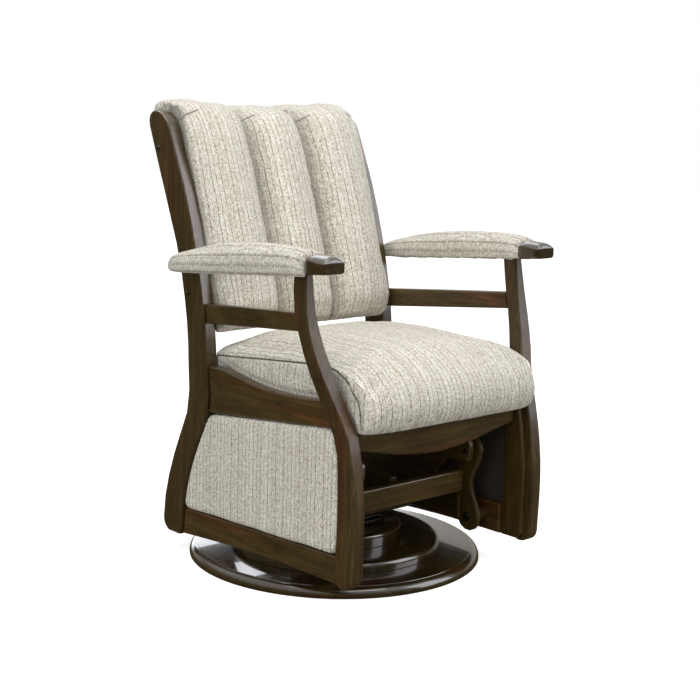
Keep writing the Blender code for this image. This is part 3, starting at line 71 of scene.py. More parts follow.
# Wooden pieces by the starts of their names. The last three go by the way that the grain runs
POSTS = ("rear_post",)
LEGS = ("front_leg",)
UPRIGHT = ("liner_stile", "front_link", "rear_link")
LENGTHWISE = ("mid_rail", "scoop_rail", "bottom_rail", "glide_rail", "hanger_board", "cradle_spine")
CROSSWISE = (
    "seat_apron", "seat_rear_rail", "lower_rear_rail", "front_stretcher", "rear_stretcher", "cradle_crossbar",
    "back_top_rail", "back_bottom_rail", "back_board", "seat_deck",
)

# Edges of wood and steel
FLAT_ANGLE = radians(0.35)
EDGE_ANGLE = radians(24)
EDGE_ROUND = 0.0013
EDGE_STEPS = 2
FACE_WEIGHT = 100

# The turned base
TURNED_STEPS = 160
MOULDING_STEPS = 9
PLATTER_MOULDING = 0.017
PLATTER_STEP = 0.0012
MIDDLE_MOULDING = 0.013
TOP_MOULDING = 0.010
DISC_CHAMFER = 0.0006

# The bare arm tips. Behind a tip the board is a slimmer core inside the pad
TIP_CUTS = 27
TIP_CROWDING = 2.4
TIP_LENGTH = 0.056
TIP_NOSE = 0.008
TIP_BROW = 0.018
TIP_REACH = 0.003
TIP_REACH_LENGTH = 0.05
NOSE_SIDE = 0.0045
NOSE_UNDER = 0.0015
DOME_POWER = 2.6
SIDE_TAPER = 0.05
UNDER_LIFT = 0.0022
ARRIS_POWER = 8
CORE_START = 0.006
CORE_SIDE = 0.012
CORE_UNDER = 0.005
CORE_TOP = 0.006
# A tip's underside, shoulder and dome, as (distance behind its front, height)
TIP_UNDER = ((0.0, 0.6750), (0.054, 0.6708), (0.070, 0.6690), (0.49, 0.636))
TIP_SHOULDER = (
    (0.0, 0.6975), (0.016, 0.6970), (0.028, 0.6985), (0.040, 0.7005), (0.056, 0.7010), (0.49, 0.662),
)
TIP_CROWN = ((0.0, 0.0135), (0.030, 0.0105), (0.056, 0.0090), (0.49, 0.0))

# Covers: how fine they are, how thick a layer is held down, and how their seams and darts are pulled in
BACK_VOXEL = 0.0062
SEAT_VOXEL = 0.0062
PAD_VOXEL = 0.0045
PANEL_VOXEL = 0.0055
HELD_LAYER = 0.004
SEAM_DEPTH = 0.0028
SEAM_WIDTH = 0.0027
DART_DEPTH = 0.0022
DART_WIDTH = 0.0022
BETWEEN_POSTS_X = 0.2462

# The back's frame of reference: the line through its bolts
BACK_LOWER_Y = 0.183
BACK_LOWER_Z = 0.582
BACK_LEAN = atan2(0.113, 0.306)

# The back's channels. Ranges run from none to all of what they ease in
BACK_HALF_WIDTH = 0.243
BACK_SEAM_X = 0.079
BACK_SEWN = BACK_VOXEL * 0.7
BACK_BOARD_FORWARD = 0.0176
BACK_BOARD_UP = 0.37
BACK_SEAM_FORWARD = BACK_BOARD_FORWARD + 0.01
CHANNEL_FRONT = (BACK_BOARD_FORWARD, BACK_BOARD_FORWARD + 0.03)
CHANNEL_EDGE = 0.012
CHANNEL_POWER = 6
CHANNEL_DEPTH = 0.023
CHANNEL_SEAM_DEPTH = 0.012
# Short darts on the channels' flanks, by their height at the seam and their rise away from it
DART_UP = 0.372
DART_RISE = 0.30
DART_LENGTH = 0.034
DART_FADE = 0.004
DART_FORWARD = 0.045
# Where the back swells over the posts, and where its top corners rise
OVER_POST_FORWARD = (0.056, 0.074)
OVER_POST_UP = (0.06, 0.30)
ABOVE_POST_UP = (0.395, 0.415)
OVER_POST_X = (0.205, 0.243)
BACK_OVERHANG = 0.0085
CORNER_RISE = 0.008
CORNER_X = (0.150, 0.215)
CORNER_UP = (0.36, 0.40)
# Painted shade on the channels' flanks beside the seams and in the gaps by the posts
FLANK_WIDTH = 0.010
FLANK_SHADE = 0.30
GAP_X = (0.236, 0.245)
GAP_FORWARD = (0.045, 0.070)
GAP_UP = 0.40
GAP_SHADE = 0.6
# The threads fan out over each channel, and wrap round the back's sides and its top
CHANNEL_CLOTH = 1.06
FAN = 0.25
FAN_POWER = 5
CORNER_PULL = 0.02
WRAP_EDGE = 0.006
WRAP_FORWARD = 0.07
ROLL_CLOTH = 0.8
ROLL_FORWARD = 0.078
ROLL_UP = (0.34, 0.40)

# The seat's sides are boxed from these places outwards
SEAT_SEWN = SEAT_VOXEL * 0.6
SEAT_SEWN_X = 0.238
SEAT_SEAM_X = 0.215
SEAT_SEAM_FADE = 0.012
SEAT_SIDE_X = 0.236
SEAT_SIDE_FACING = 0.72
SEAT_REAR_GROWTH = 0.009
SEAT_REAR_Y = (0.06, 0.125)
SEAT_OVERHANG = 0.0068
# The seam along the seat's side and down its front corner, as (y, z)
SEAT_SEAM = (
    (0.150, 0.4500), (0.125, 0.4520), (0.034, 0.4612), (-0.065, 0.4705), (-0.174, 0.4795), (-0.235, 0.4815),
    (-0.265, 0.4765), (-0.290, 0.4650), (-0.311, 0.4480), (-0.326, 0.4270), (-0.334, 0.4050),
    (-0.336, 0.3720),
)
# The tops of the scooped rails, as (y, z)
RAIL_TOP = (
    (-0.28, 0.423), (-0.21, 0.416), (-0.144, 0.413), (-0.08, 0.4136), (-0.024, 0.4186), (0.024, 0.426),
    (0.068, 0.432), (0.12, 0.433),
)
# The legs' edges beside the seat, as (z, y in front, y behind)
LEG_EDGES = (
    (0.364, -0.335, -0.292), (0.424, -0.309, -0.268), (0.484, -0.288, -0.251), (0.544, -0.268, -0.234),
)
# How far from the rails, the posts and the legs the seat swells out over them
RAIL_CLEARANCE = (0.002, 0.016)
POST_Y = (0.070, 0.100)
LEG_CLEARANCE_FRONT = (0.002, 0.016)
LEG_CLEARANCE_REAR = (0.002, 0.020)

# The arm pads, along the line that their boards slope on
PAD_SLOPE = 0.0816
PAD_AXIS_Y = -0.26
PAD_AXIS_Z = 0.667
PAD_RADIUS = 0.034
PAD_OVERLAP = 0.0015
PAD_TAPER = 0.16
PAD_TAPER_LENGTH = 0.030
# Painted shade over each whole pad cover
PAD_SHADE = 0.08

# How far in from a side panel's inner face painted shade still darkens the cloth
PANEL_DARK = (0.003, 0.006)

# Tweed: the pitch of its threads and rows, and a dark thread and a fainter one in every STRIPE_THREADS
THREAD_PITCH = 0.00205
ROW_PITCH = 0.0022
THREAD_WANDER = 0.0024
ROW_SLANT = 0.0040
STRIPE_THREADS = 12.0
STRIPE_SHADE = 0.44
STRIPE_GAPS = 0.34
FAINT_THREAD = 6.0
FAINT_SHADE = 0.30
FAINT_GAPS = 0.42
TWEED_LIGHT = 0.61
TWEED_COLOURS = (
    (0.00, (0.190, 0.165, 0.125)), (0.28, (0.370, 0.340, 0.275)), (0.58, (0.580, 0.550, 0.474)),
    (0.84, (0.780, 0.752, 0.678)), (1.00, (0.880, 0.858, 0.795)),
)
WARM_TINT = (1.0, 0.972, 0.955)
COOL_TINT = (0.978, 0.992, 0.955)
HUE_RANGE = (0.50, 0.66)
# Painted shade: the dark colour that the cloth is mixed towards, and how wide and strong it is along seams
# and darts
PAINTED_SHADE_COLOUR = (0.036, 0.028, 0.021)
SEAM_LINE = (0.0007, 0.0024)
SEAM_SHADE = 0.90
DART_LINE = (0.0005, 0.0018)
DART_SHADE = 0.85

# Stained wood. The stain's colours go from the darkest grain to the lightest
GRAIN_STRETCH = 0.055
STAIN_COLOURS = (
    (0.34, (0.0110, 0.0070, 0.0016)), (0.46, (0.0270, 0.0170, 0.0042)),
    (0.55, (0.0430, 0.0270, 0.0070)), (0.66, (0.0780, 0.0490, 0.0140)),
)
PORE_COLOUR = (0.012, 0.006, 0.002)
RED_TINT = (1.25, 0.66, 0.62)
BASE_TINT = (1.5, 0.50, 0.42)

# Steel
ZINC = (0.20, 0.20, 0.20)
BLACKENED = (0.10, 0.09, 0.08)
DULL_SHARE = 0.72

# The floor and the sky. Lacquer mirrors darker surroundings than the camera sees
FLOOR_HALF_SIDE = 14
FLOOR_DROP = 0.0004
FLOOR_SEEN = (0.90, 0.90, 0.90)
FLOOR_GLOW = (0.60, 0.60, 0.60)
FLOOR_BOUNCED = (0.33, 0.32, 0.29)
FLOOR_MIRRORED = (0.130, 0.105, 0.055)
NO_GLOW = (0.0, 0.0, 0.0)
SKY_SEEN = (1.0, 1.0, 1.0)
SKY_LIGHT = (0.64, 0.64, 0.65)
MIRRORED_DARK = (0.20, 0.17, 0.095)
MIRRORED_BRIGHT = (2.5, 2.55, 2.65)
# The bright window that lacquer mirrors, by the ratio of east to north and by height
WINDOW_START = (0.10, 0.34)
WINDOW_END = (0.93, 1.06)
WINDOW_SILL = (-0.03, 0.03)
LEAST_NORTH = 0.01
# The dimmer backdrop round it and the sky overhead
BACKDROP_EAST = 0.68
BACKDROP_NORTH = 0.73
BACKDROP_SPREAD = (0.30, 0.80)
BACKDROP_SILL = (0.0, 0.10)
BACKDROP_SHARE = 0.13
OVERHEAD = (0.25, 0.75)
OVERHEAD_SHARE = 0.38
CARD_COLOUR = (0.93, 0.93, 1.0)

# The Mix node has several sockets of each name, so its colour sockets go by number
MIX_FACTOR = 0
MIX_FIRST = 6
MIX_SECOND = 7
MIX_RESULT = 2

bodies = frame["record"]["behaviour"]["bodies"]
body_of_node = {node: body for body, nodes in bodies.items() for node in nodes}


class Socket:
    """A shader value. Sums with it add Math nodes."""

    def __init__(self, paint, socket):
        self.paint = paint
        self.socket = socket

    def sum(self, operation, first, second=0.0):
        return self.paint.node("ShaderNodeMath", {"operation": operation}, {0: first, 1: second})

    def __add__(self, other):
        return self.sum("ADD", self, other)

    def __sub__(self, other):
        return self.sum("SUBTRACT", self, other)

    def __rsub__(self, other):
        return self.sum("SUBTRACT", other, self)

    def __mul__(self, other):
        return self.sum("MULTIPLY", self, other)

    def __truediv__(self, other):
        return self.sum("DIVIDE", self, other)

    def __pow__(self, other):
        return self.sum("POWER", self, other)

    def size(self):
        return self.sum("ABSOLUTE", self)

    def fraction(self):
        return self.sum("FRACT", self)

    def whole(self):
        return self.sum("FLOOR", self)

    def below(self, limit):
        return self.sum("LESS_THAN", self, limit)

    def at_most(self, limit):
        return self.sum("MINIMUM", self, limit)

    def at_least(self, limit):
        return self.sum("MAXIMUM", self, limit)

    def between(self, low, high):
        """0 below low, 1 above high, and a smooth step in between."""
        sockets = {"Value": self, "From Min": low, "From Max": high}
        return self.paint.node("ShaderNodeMapRange", {"interpolation_type": "SMOOTHSTEP"}, sockets)


def opaque(colour):
    """A colour with full alpha, or the socket that a colour comes from."""
    return colour if isinstance(colour, Socket) else (*colour, 1.0)


def scaled(colour, factor):
    return tuple(part * factor for part in colour)


class Nodes:
    """The nodes that feed one shader."""

    def __init__(self, tree, shader):
        self.tree = tree
        self.shader = tree.nodes[shader]

    def node(self, kind, settings=None, sockets=None, output=0):
        made = self.tree.nodes.new(kind)
        for name, value in (settings or {}).items():
            if name == "stops":
                self.set_stops(made.color_ramp, value)
            else:
                setattr(made, name, value)
        for name, value in (sockets or {}).items():
            if isinstance(value, Socket):
                self.tree.links.new(value.socket, made.inputs[name])
            else:
                made.inputs[name].default_value = value
        return Socket(self, made.outputs[output])

    def set_stops(self, ramp, stops):
        while len(ramp.elements) < len(stops):
            ramp.elements.new(1.0)
        for element, (place, colour) in zip(ramp.elements, stops):
            element.position = place
            element.color = opaque(colour)

    def feed(self, name, value):
        self.tree.links.new(value.socket, self.shader.inputs[name])

    def place(self):
        return self.node("ShaderNodeTexCoord", output="Object")

    def weave(self):
        """Places in the cloth: across its lengthwise threads, and along them."""
        laid = self.node("ShaderNodeUVMap", {"uv_map": "weave"})
        return self.parts(laid)[:2]

    def parts(self, vector):
        split = self.node("ShaderNodeSeparateXYZ", sockets={0: vector}).socket.node
        return [Socket(self, socket) for socket in split.outputs]

    def vector(self, x, y, z=0.0):
        return self.node("ShaderNodeCombineXYZ", sockets={0: x, 1: y, 2: z})

    def stretched(self, vector, scale):
        return self.node("ShaderNodeVectorMath", {"operation": "MULTIPLY"}, {0: vector, 1: scale})

    def noise(self, vector, scale, detail=2.0, roughness=0.5, distortion=0.0):
        sockets = {"Vector": vector, "Scale": scale, "Detail": detail}
        sockets.update({"Roughness": roughness, "Distortion": distortion})
        return self.node("ShaderNodeTexNoise", sockets=sockets)

    def attribute(self, name):
        return self.node("ShaderNodeAttribute", {"attribute_name": name}, output="Fac")

    def scatter(self, vector):
        """A random value, the same wherever the vector is the same."""
        return self.node("ShaderNodeTexWhiteNoise", {"noise_dimensions": "3D"}, {"Vector": vector})

    def mixed(self, factor, first, second, blend="MIX"):
        """A colour between two colours."""
        settings = {"data_type": "RGBA", "blend_type": blend}
        sockets = {MIX_FACTOR: factor, MIX_FIRST: opaque(first), MIX_SECOND: opaque(second)}
        return self.node("ShaderNodeMix", settings, sockets, MIX_RESULT)

    def tinted(self, factor, colour, tint):
        """The colour, multiplied by the tint as far as the factor says."""
        return self.mixed(factor, colour, tint, "MULTIPLY")

    def ramp(self, value, stops):
        return self.node("ShaderNodeValToRGB", {"stops": stops}, {0: value})

    def bump(self, height, strength, distance):
        sockets = {"Height": height, "Strength": strength, "Distance": distance}
        self.feed("Normal", self.node("ShaderNodeBump", sockets=sockets))


class Paint(Nodes):
    """One material and its nodes."""

    def __init__(self, name, roughness, **settings):
        self.material = bpy.data.materials.new(name)
        self.material.use_nodes = True
        super().__init__(self.material.node_tree, "Principled BSDF")
        self.shader.inputs["Roughness"].default_value = roughness
        for socket, value in settings.items():
            self.shader.inputs[socket.replace("_", " ").title().replace("Ior", "IOR")].default_value = value


def stained_wood(
    name, along, gloss=0.30, coat=0.40, coat_roughness=0.16, shade=1.32, redness=0.75, relief=0.12,
    tint=RED_TINT,
):
    """Dark stain under lacquer. The grain runs along one axis, with pores, streaks and a reddish mottle."""
    paint = Paint(name, gloss, coat_weight=coat, coat_roughness=coat_roughness, specular_ior_level=0.42)
    place = paint.place()
    lengthwise = paint.stretched(place, [GRAIN_STRETCH if axis == along else 1.0 for axis in "XYZ"])
    figure = paint.noise(lengthwise, scale=62.0, detail=4.0, roughness=0.6, distortion=1.3)
    grain = paint.noise(lengthwise, scale=330.0, detail=3.0, roughness=0.65)
    pores = paint.noise(lengthwise, scale=1150.0, detail=1.0)
    mottle = paint.noise(place, scale=9.0)
    streaks = paint.noise(lengthwise, scale=26.0)
    worn = paint.noise(place, scale=42.0, detail=3.0, roughness=0.6)
    tone = figure * 0.46 + grain * 0.30 + mottle * 0.24
    # The shade factor scales the whole stain. Above the uprights' value it is painted light, as on the rails
    # and the aprons
    stain = paint.ramp(tone, [(stop, scaled(colour, shade)) for stop, colour in STAIN_COLOURS])
    colour = paint.tinted(streaks.between(0.48, 0.72) * redness, stain, tint)
    pore = pores.between(0.60, 0.72)
    paint.feed("Base Color", paint.mixed(pore * 0.55, colour, PORE_COLOUR))
    paint.feed("Roughness", worn * 0.16 + (gloss - 0.08))
    paint.bump(grain * 0.6 + pores * 0.4 - pore * 0.5, strength=relief, distance=0.0004)
    return paint.material


def cloth_noise(paint, across, along, seed=0.0, detail=1.0, roughness=0.5):
    """Soft unevenness in the cloth. The seed tells its uses apart."""
    return paint.noise(paint.vector(across, along, seed), scale=1.0, detail=detail, roughness=roughness)


def thread_line(paint, column, along, offset, gaps):
    """1 on one lengthwise thread out of STRIPE_THREADS, broken here and there."""
    chosen = ((column + (offset + 0.5)) / STRIPE_THREADS).fraction().below(1.0 / STRIPE_THREADS)
    broken = cloth_noise(paint, column * 1.9, along * 110.0, offset + 1.0, detail=2.0, roughness=0.6)
    return chosen * broken.between(gaps - 0.08, gaps + 0.14)


def thread_round(threads):
    """1 along the middle of each thread and 0 at its edges."""
    return 1.0 - ((threads.fraction() - 0.5).size() * 2.0) ** 2.0


def stitched(paint, name, line):
    """1 on a seam or a dart, where painted shade darkens the groove, and 0 beside it."""
    return 1.0 - paint.attribute(name).size().between(*line)


def tweed(name):
    """A slubby cream tweed with thin dark threads that run lengthwise. Painted shade, marked on each cover,
    darkens it.
    """
    paint = Paint(name, 0.95, sheen_weight=0.10, sheen_roughness=0.6, specular_ior_level=0.15)
    across, along = paint.weave()
    wander = (cloth_noise(paint, across * 8.0, along * 12.0) - 0.5) * THREAD_WANDER
    slant = (cloth_noise(paint, across * 11.0, along * 9.0, 5.0) - 0.5) * ROW_SLANT
    warp = (across + wander) / THREAD_PITCH
    weft = (along + slant) / ROW_PITCH
    column = warp.whole()
    row = weft.whole()
    warp_round = thread_round(warp)
    weft_round = thread_round(weft)
    own = paint.scatter(paint.vector(column, 0.5, 0.0))
    knot = paint.scatter(paint.vector(column, row, 4.0))
    slub = cloth_noise(paint, column * 3.7, along * 85.0, 2.0, detail=2.0, roughness=0.7)
    band = cloth_noise(paint, across * 70.0, row * 2.3, 9.0)
    grit = cloth_noise(paint, across * 900.0, along * 800.0, 3.0, detail=2.0, roughness=0.6)
    hue = cloth_noise(paint, across * 90.0, along * 60.0, 17.0, detail=2.0, roughness=0.6)
    light = (
        (slub - 0.5) * 0.56 + (knot - 0.5) * 0.54 + (band - 0.5) * 0.24 + (own - 0.5) * 0.17
        + (grit - 0.5) * 0.10 + (warp_round - 0.6) * 0.22 + (weft_round - 0.6) * 0.16 + TWEED_LIGHT
    )
    stripe = thread_line(paint, column, along, 0.0, STRIPE_GAPS) * STRIPE_SHADE
    dark = stripe + thread_line(paint, column, along, FAINT_THREAD, FAINT_GAPS) * FAINT_SHADE
    colour = paint.ramp((light - dark).at_most(1.0).at_least(0.0), TWEED_COLOURS)
    warm = paint.tinted(hue.between(*HUE_RANGE), colour, WARM_TINT)
    cool = paint.tinted((1.0 - hue).between(*HUE_RANGE), warm, COOL_TINT)
    # Painted shade: seam and dart grooves and the covers' shade marks darken the cloth towards a dark brown
    seam = stitched(paint, "seam", SEAM_LINE) * SEAM_SHADE
    dart = stitched(paint, "dart", DART_LINE) * DART_SHADE
    shade = paint.attribute("shade").at_least(seam).at_least(dart)
    paint.feed("Base Color", paint.mixed(shade, cool, PAINTED_SHADE_COLOUR))
    height = warp_round * 0.40 + weft_round * 0.30 + knot * 0.45 + slub * 0.5 + grit * 0.3 - dark * 0.8
    paint.bump(height, strength=0.42, distance=0.0008)
    return paint.material


def plated_steel(name, colour, roughness):
    """Steel with a brushed, slightly cloudy plating."""
    paint = Paint(name, roughness, metallic=1.0)
    place = paint.place()
    brushed = paint.noise(paint.stretched(place, (1.0, 18.0, 1.0)), scale=260.0, detail=3.0, roughness=0.6)
    cloud = paint.noise(place, scale=70.0)
    stops = ((0.30, scaled(colour, DULL_SHARE)), (0.70, colour))
    paint.feed("Base Color", paint.ramp(brushed * 0.5 + cloud * 0.5, stops))
    paint.feed("Roughness", brushed * 0.18 + (roughness - 0.06))
    paint.bump(brushed, strength=0.08, distance=0.0002)
    return paint.material


def mesh_from(work, name):
    """A mesh of the bmesh, which is freed."""
    mesh = bpy.data.meshes.new(name)
    work.to_mesh(mesh)
    work.free()
    return mesh


def finished(name, mesh, material, body, node):
    """A piece of its own in the scene. It rides on a body and stands for the node."""
    made = bpy.data.objects.new(name, mesh)
    bpy.context.scene.collection.objects.link(made)
    mesh.materials.clear()
    mesh.materials.append(material)
    mesh.shade_smooth()
    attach(made, body)
    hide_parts(node)
    return made


def merged(node):
    """The node's solid as a bmesh with its loose triangles joined."""
    work = bmesh.new()
    work.from_mesh(frame["nodes"][node].data)
    bmesh.ops.remove_doubles(work, verts=work.verts, dist=MERGE)
    return work


def eased(node, material):
    """The node's solid with its edges rounded over."""
    work = merged(node)
    bmesh.ops.dissolve_limit(work, angle_limit=FLAT_ANGLE, verts=work.verts, edges=work.edges)
    name = node + "_eased"
    made = finished(name, mesh_from(work, name), material, body_of_node[node], node)
    bevel = made.modifiers.new("Eased edges", "BEVEL")
    bevel.width = EDGE_ROUND
    bevel.segments = EDGE_STEPS
    bevel.limit_method = "ANGLE"
    bevel.angle_limit = EDGE_ANGLE
    shading = made.modifiers.new("Even shading", "WEIGHTED_NORMAL")
    shading.weight = FACE_WEIGHT


def disc_profile(low, high, moulding, step):
    """From the middle of the top over the step and the quarter round to the middle of the underside."""
    radius = high.x
    shoulder = radius - moulding
    rim = shoulder - step
    profile = [(0, high.z), (rim - DISC_CHAMFER, high.z), (rim, high.z - DISC_CHAMFER / 2)]
    if step:
        profile += [(shoulder - DISC_CHAMFER, high.z - step), (shoulder, high.z - step)]
    drop = min(moulding, high.z - low.z - step - DISC_CHAMFER)
    for i in range(1, MOULDING_STEPS + 1):
        turn = pi / 2 * i / MOULDING_STEPS
        profile.append((shoulder + moulding * sin(turn), high.z - step - drop * (1 - cos(turn))))
    return profile + [(radius, low.z + DISC_CHAMFER), (radius - DISC_CHAMFER, low.z), (0, low.z)]


def turned_disc(node, material, moulding, step=0.0):
    """A flat disc with a small step and a quarter round at its rim, spun from its profile."""
    low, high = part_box(node)
    work = bmesh.new()
    line = [work.verts.new((r, 0, z)) for r, z in disc_profile(low, high, moulding, step)]
    edges = [work.edges.new(pair) for pair in zip(line, line[1:])]
    bmesh.ops.spin(
        work, geom=line + edges, cent=(0, 0, 0), axis=(0, 0, 1), angle=2 * pi, steps=TURNED_STEPS,
        use_merge=True,
    )
    bmesh.ops.remove_doubles(work, verts=work.verts, dist=MERGE)
    bmesh.ops.recalc_face_normals(work, faces=work.faces)
    name = node + "_turned"
    mesh = mesh_from(work, name)
    finished(name, mesh, material, "base", node)
    mesh.set_sharp_from_angle(angle=EDGE_ANGLE)


def settled(piece):
    """Puts the result of the piece's modifiers into its mesh."""
    bpy.context.view_layer.update()
    evaluated = piece.evaluated_get(bpy.context.evaluated_depsgraph_get())
    mesh = bpy.data.meshes.new_from_object(evaluated)
    mesh.name = piece.name
    piece.modifiers.clear()
    piece.data = mesh
    mesh.shade_smooth()


def softened(piece, passes):
    """Evens the piece out with a few smoothing passes, after any modifiers that it has."""
    smooth = piece.modifiers.new("Softened", "SMOOTH")
    smooth.factor = SMOOTHING
    smooth.iterations = passes
    settled(piece)


def subdivided(piece):
    surface = piece.modifiers.new("Fine", "SUBSURF")
    surface.levels = 1
    surface.render_levels = 1
    settled(piece)


def remeshed(node, name, voxel):
    """The node's soft solid as an even mesh, softened at its edges."""
    made = finished(name, mesh_from(merged(node), name), cloth, body_of_node[node], node)
    remesh = made.modifiers.new("Even", "REMESH")
    remesh.mode = "VOXEL"
    remesh.voxel_size = voxel
    softened(made, passes=3)
    return made


def vectors(values, name):
    """One vector of each value, such as a vertex's co, as the rows of an array."""
    found = np.empty(len(values) * 3)
    values.foreach_get(name, found)
    return found.reshape(-1, 3)


def points(piece):
    return vectors(piece.data.vertices, "co")


def move_points(piece, moved):
    piece.data.vertices.foreach_set("co", moved.ravel())
    piece.data.update()


def inflated(piece, pinned, pressure, cap, last_frame=20):
    """Swells the cover over its filling with a short cloth simulation. Pinned points stay sewn down."""
    rest = points(piece)
    group = piece.vertex_groups.new(name="sewn")
    group.add([int(i) for i in np.nonzero(pinned)[0]], 1.0, "REPLACE")
    swelling = piece.modifiers.new("Cloth", "CLOTH")
    swelling.settings.quality = 4
    swelling.settings.vertex_group_mass = "sewn"
    swelling.settings.use_pressure = True
    swelling.settings.uniform_pressure_force = pressure
    swelling.settings.effector_weights.gravity = 0.0
    swelling.collision_settings.use_collision = False
    swelling.point_cache.frame_start = 1
    swelling.point_cache.frame_end = last_frame
    scene = bpy.context.scene
    for frame_number in range(1, last_frame + 1):
        scene.frame_set(frame_number)
    swollen = piece.evaluated_get(bpy.context.evaluated_depsgraph_get()).to_mesh()
    shift = vectors(swollen.vertices, "co") - rest
    piece.modifiers.remove(swelling)
    scene.frame_set(1)
    length = np.linalg.norm(shift, axis=1, keepdims=True)
    shift *= np.minimum(1.0, cap / np.maximum(length, MERGE))
    move_points(piece, rest + shift)
    piece.vertex_groups.clear()


def creased(piece, scale, depth, seed=0.0):
    """Shallow unevenness over the whole cover."""
    place = points(piece)
    outward = vectors(piece.data.vertices, "normal")
    lift = np.array([noise.noise(Vector(p) * scale + Vector((seed, 0, 0))) for p in place])
    move_points(piece, place + outward * (lift * depth)[:, None])


def lay_weave(piece, across_along):
    """Gives each face corner its place in the cloth, in metres, from its own place and its face's."""
    mesh = piece.data
    laid = mesh.uv_layers.new(name="weave")
    corners = np.empty(len(mesh.loops), np.int64)
    mesh.loops.foreach_get("vertex_index", corners)
    counts = np.empty(len(mesh.polygons), np.int64)
    mesh.polygons.foreach_get("loop_total", counts)
    facing = np.repeat(vectors(mesh.polygons, "normal"), counts, axis=0)
    middle = np.repeat(vectors(mesh.polygons, "center"), counts, axis=0)
    across, along = across_along(points(piece)[corners], facing, middle)
    laid.data.foreach_set("uv", np.stack([across, along], 1).ravel())


def mark(piece, shade=0.0, seam=FAR, dart=FAR):
    """Gives each point how much painted shade darkens the cover, from 0 to 1, and its signed distances to a
    seam and a dart, along which painted shade also falls.
    """
    count = len(piece.data.vertices)
    for name, value in (("shade", shade), ("seam", seam), ("dart", dart)):
        made = piece.data.attributes.new(name, "FLOAT", "POINT")
        made.data.foreach_set("value", np.broadcast_to(value, count).astype(np.float32))


def eased_step(value, low, high):
    """0 below low, 1 above high, and a smooth step in between, for arrays."""
    share = np.clip((value - low) / (high - low), 0, 1)
    return share * share * (3 - 2 * share)


def bell(distance, width):
    """1 at no distance, falling off smoothly on both sides."""
    return np.exp(-((distance / width) ** 2))


def quarter_round(distance, radius):
    """From 0 at no distance up to 1 at the radius, as a quarter of a circle."""
    return np.sqrt(1 - (1 - np.clip(distance / radius, 0, 1)) ** 2)


def read_off(line, value):
    """The second column of a table at a value of the first."""
    return np.interp(value, *np.array(line).T)


def kept_where(distance, chosen):
    """A signed distance that is only small where chosen is 1."""
    return distance + np.where(distance < 0, -FAR, FAR) * (1 - chosen)


def distance_to_line(place, line):
    """Each point's signed distance to a line of points, in the plane that both are given in."""
    best = np.full(len(place), FAR)
    for start, end in zip(line, line[1:]):
        a = np.array(start)
        b = np.array(end)
        share = np.clip((place - a) @ (b - a) / ((b - a) @ (b - a)), 0, 1)
        gap = place - (a + share[:, None] * (b - a))
        side = np.where((place - a) @ np.array((a[1] - b[1], b[0] - a[0])) < 0, -1, 1)
        length = np.linalg.norm(gap, axis=1)
        best = np.where(length < np.abs(best), side * length, best)
    return best


def back_places(place):
    """Places along the back's own axes: across, up along the bolts' line, and forward of it."""
    y = place[:, 1] - BACK_LOWER_Y
    z = place[:, 2] - BACK_LOWER_Z
    up = y * sin(BACK_LEAN) + z * cos(BACK_LEAN)
    forward = -y * cos(BACK_LEAN) + z * sin(BACK_LEAN)
    return place[:, 0], up, forward


def channel_share(x):
    """Which channel a point lies in, as its middle, half width and place from -1 to 1 across it."""
    outer = (BACK_HALF_WIDTH + BACK_SEAM_X) / 2
    middle = np.where(x < -BACK_SEAM_X, -outer, np.where(x > BACK_SEAM_X, outer, 0.0))
    half = np.where(np.abs(x) > BACK_SEAM_X, (BACK_HALF_WIDTH - BACK_SEAM_X) / 2, BACK_SEAM_X)
    return middle, half, np.clip((x - middle) / half, -1, 1)


def channel_sink(x, forward, seam):
    """How far back each channel rolls towards the seams between them. The outer flanks stay full."""
    _, _, share = channel_share(x)
    front = eased_step(forward, *CHANNEL_FRONT) * (np.abs(x) < BACK_HALF_WIDTH - CHANNEL_EDGE)
    inner_side = (np.sign(share) * np.sign(x) <= 0) | (np.abs(x) < BACK_SEAM_X)
    steep = np.where(inner_side, np.abs(share) ** CHANNEL_POWER, 0)
    return front * (CHANNEL_DEPTH * steep + CHANNEL_SEAM_DEPTH * bell(seam, SEAM_WIDTH))


def dart_distance(x, up, forward):
    """Height above the short sewn darts on both flanks of each channel, under the roll of the top."""
    middle, half, _ = channel_share(x)
    from_seam = half - np.abs(x - middle)
    within = (1 - eased_step(from_seam, DART_LENGTH - DART_FADE, DART_LENGTH)) * (forward > DART_FORWARD)
    return kept_where(up - (DART_UP + DART_RISE * from_seam), within)


def back_weave(place, facing, centre):
    x, up, forward = back_places(place)
    _, half, share = channel_share(x * (1 - CORNER_PULL) + centre[:, 0] * CORNER_PULL)
    wrapped = np.where(np.abs(x) > BACK_HALF_WIDTH - WRAP_EDGE, np.maximum(0, WRAP_FORWARD - forward), 0)
    across = x * CHANNEL_CLOTH + half * FAN * share ** FAN_POWER + np.sign(x) * wrapped
    return across, up - ROLL_CLOTH * (forward - ROLL_FORWARD) * eased_step(up, *ROLL_UP)


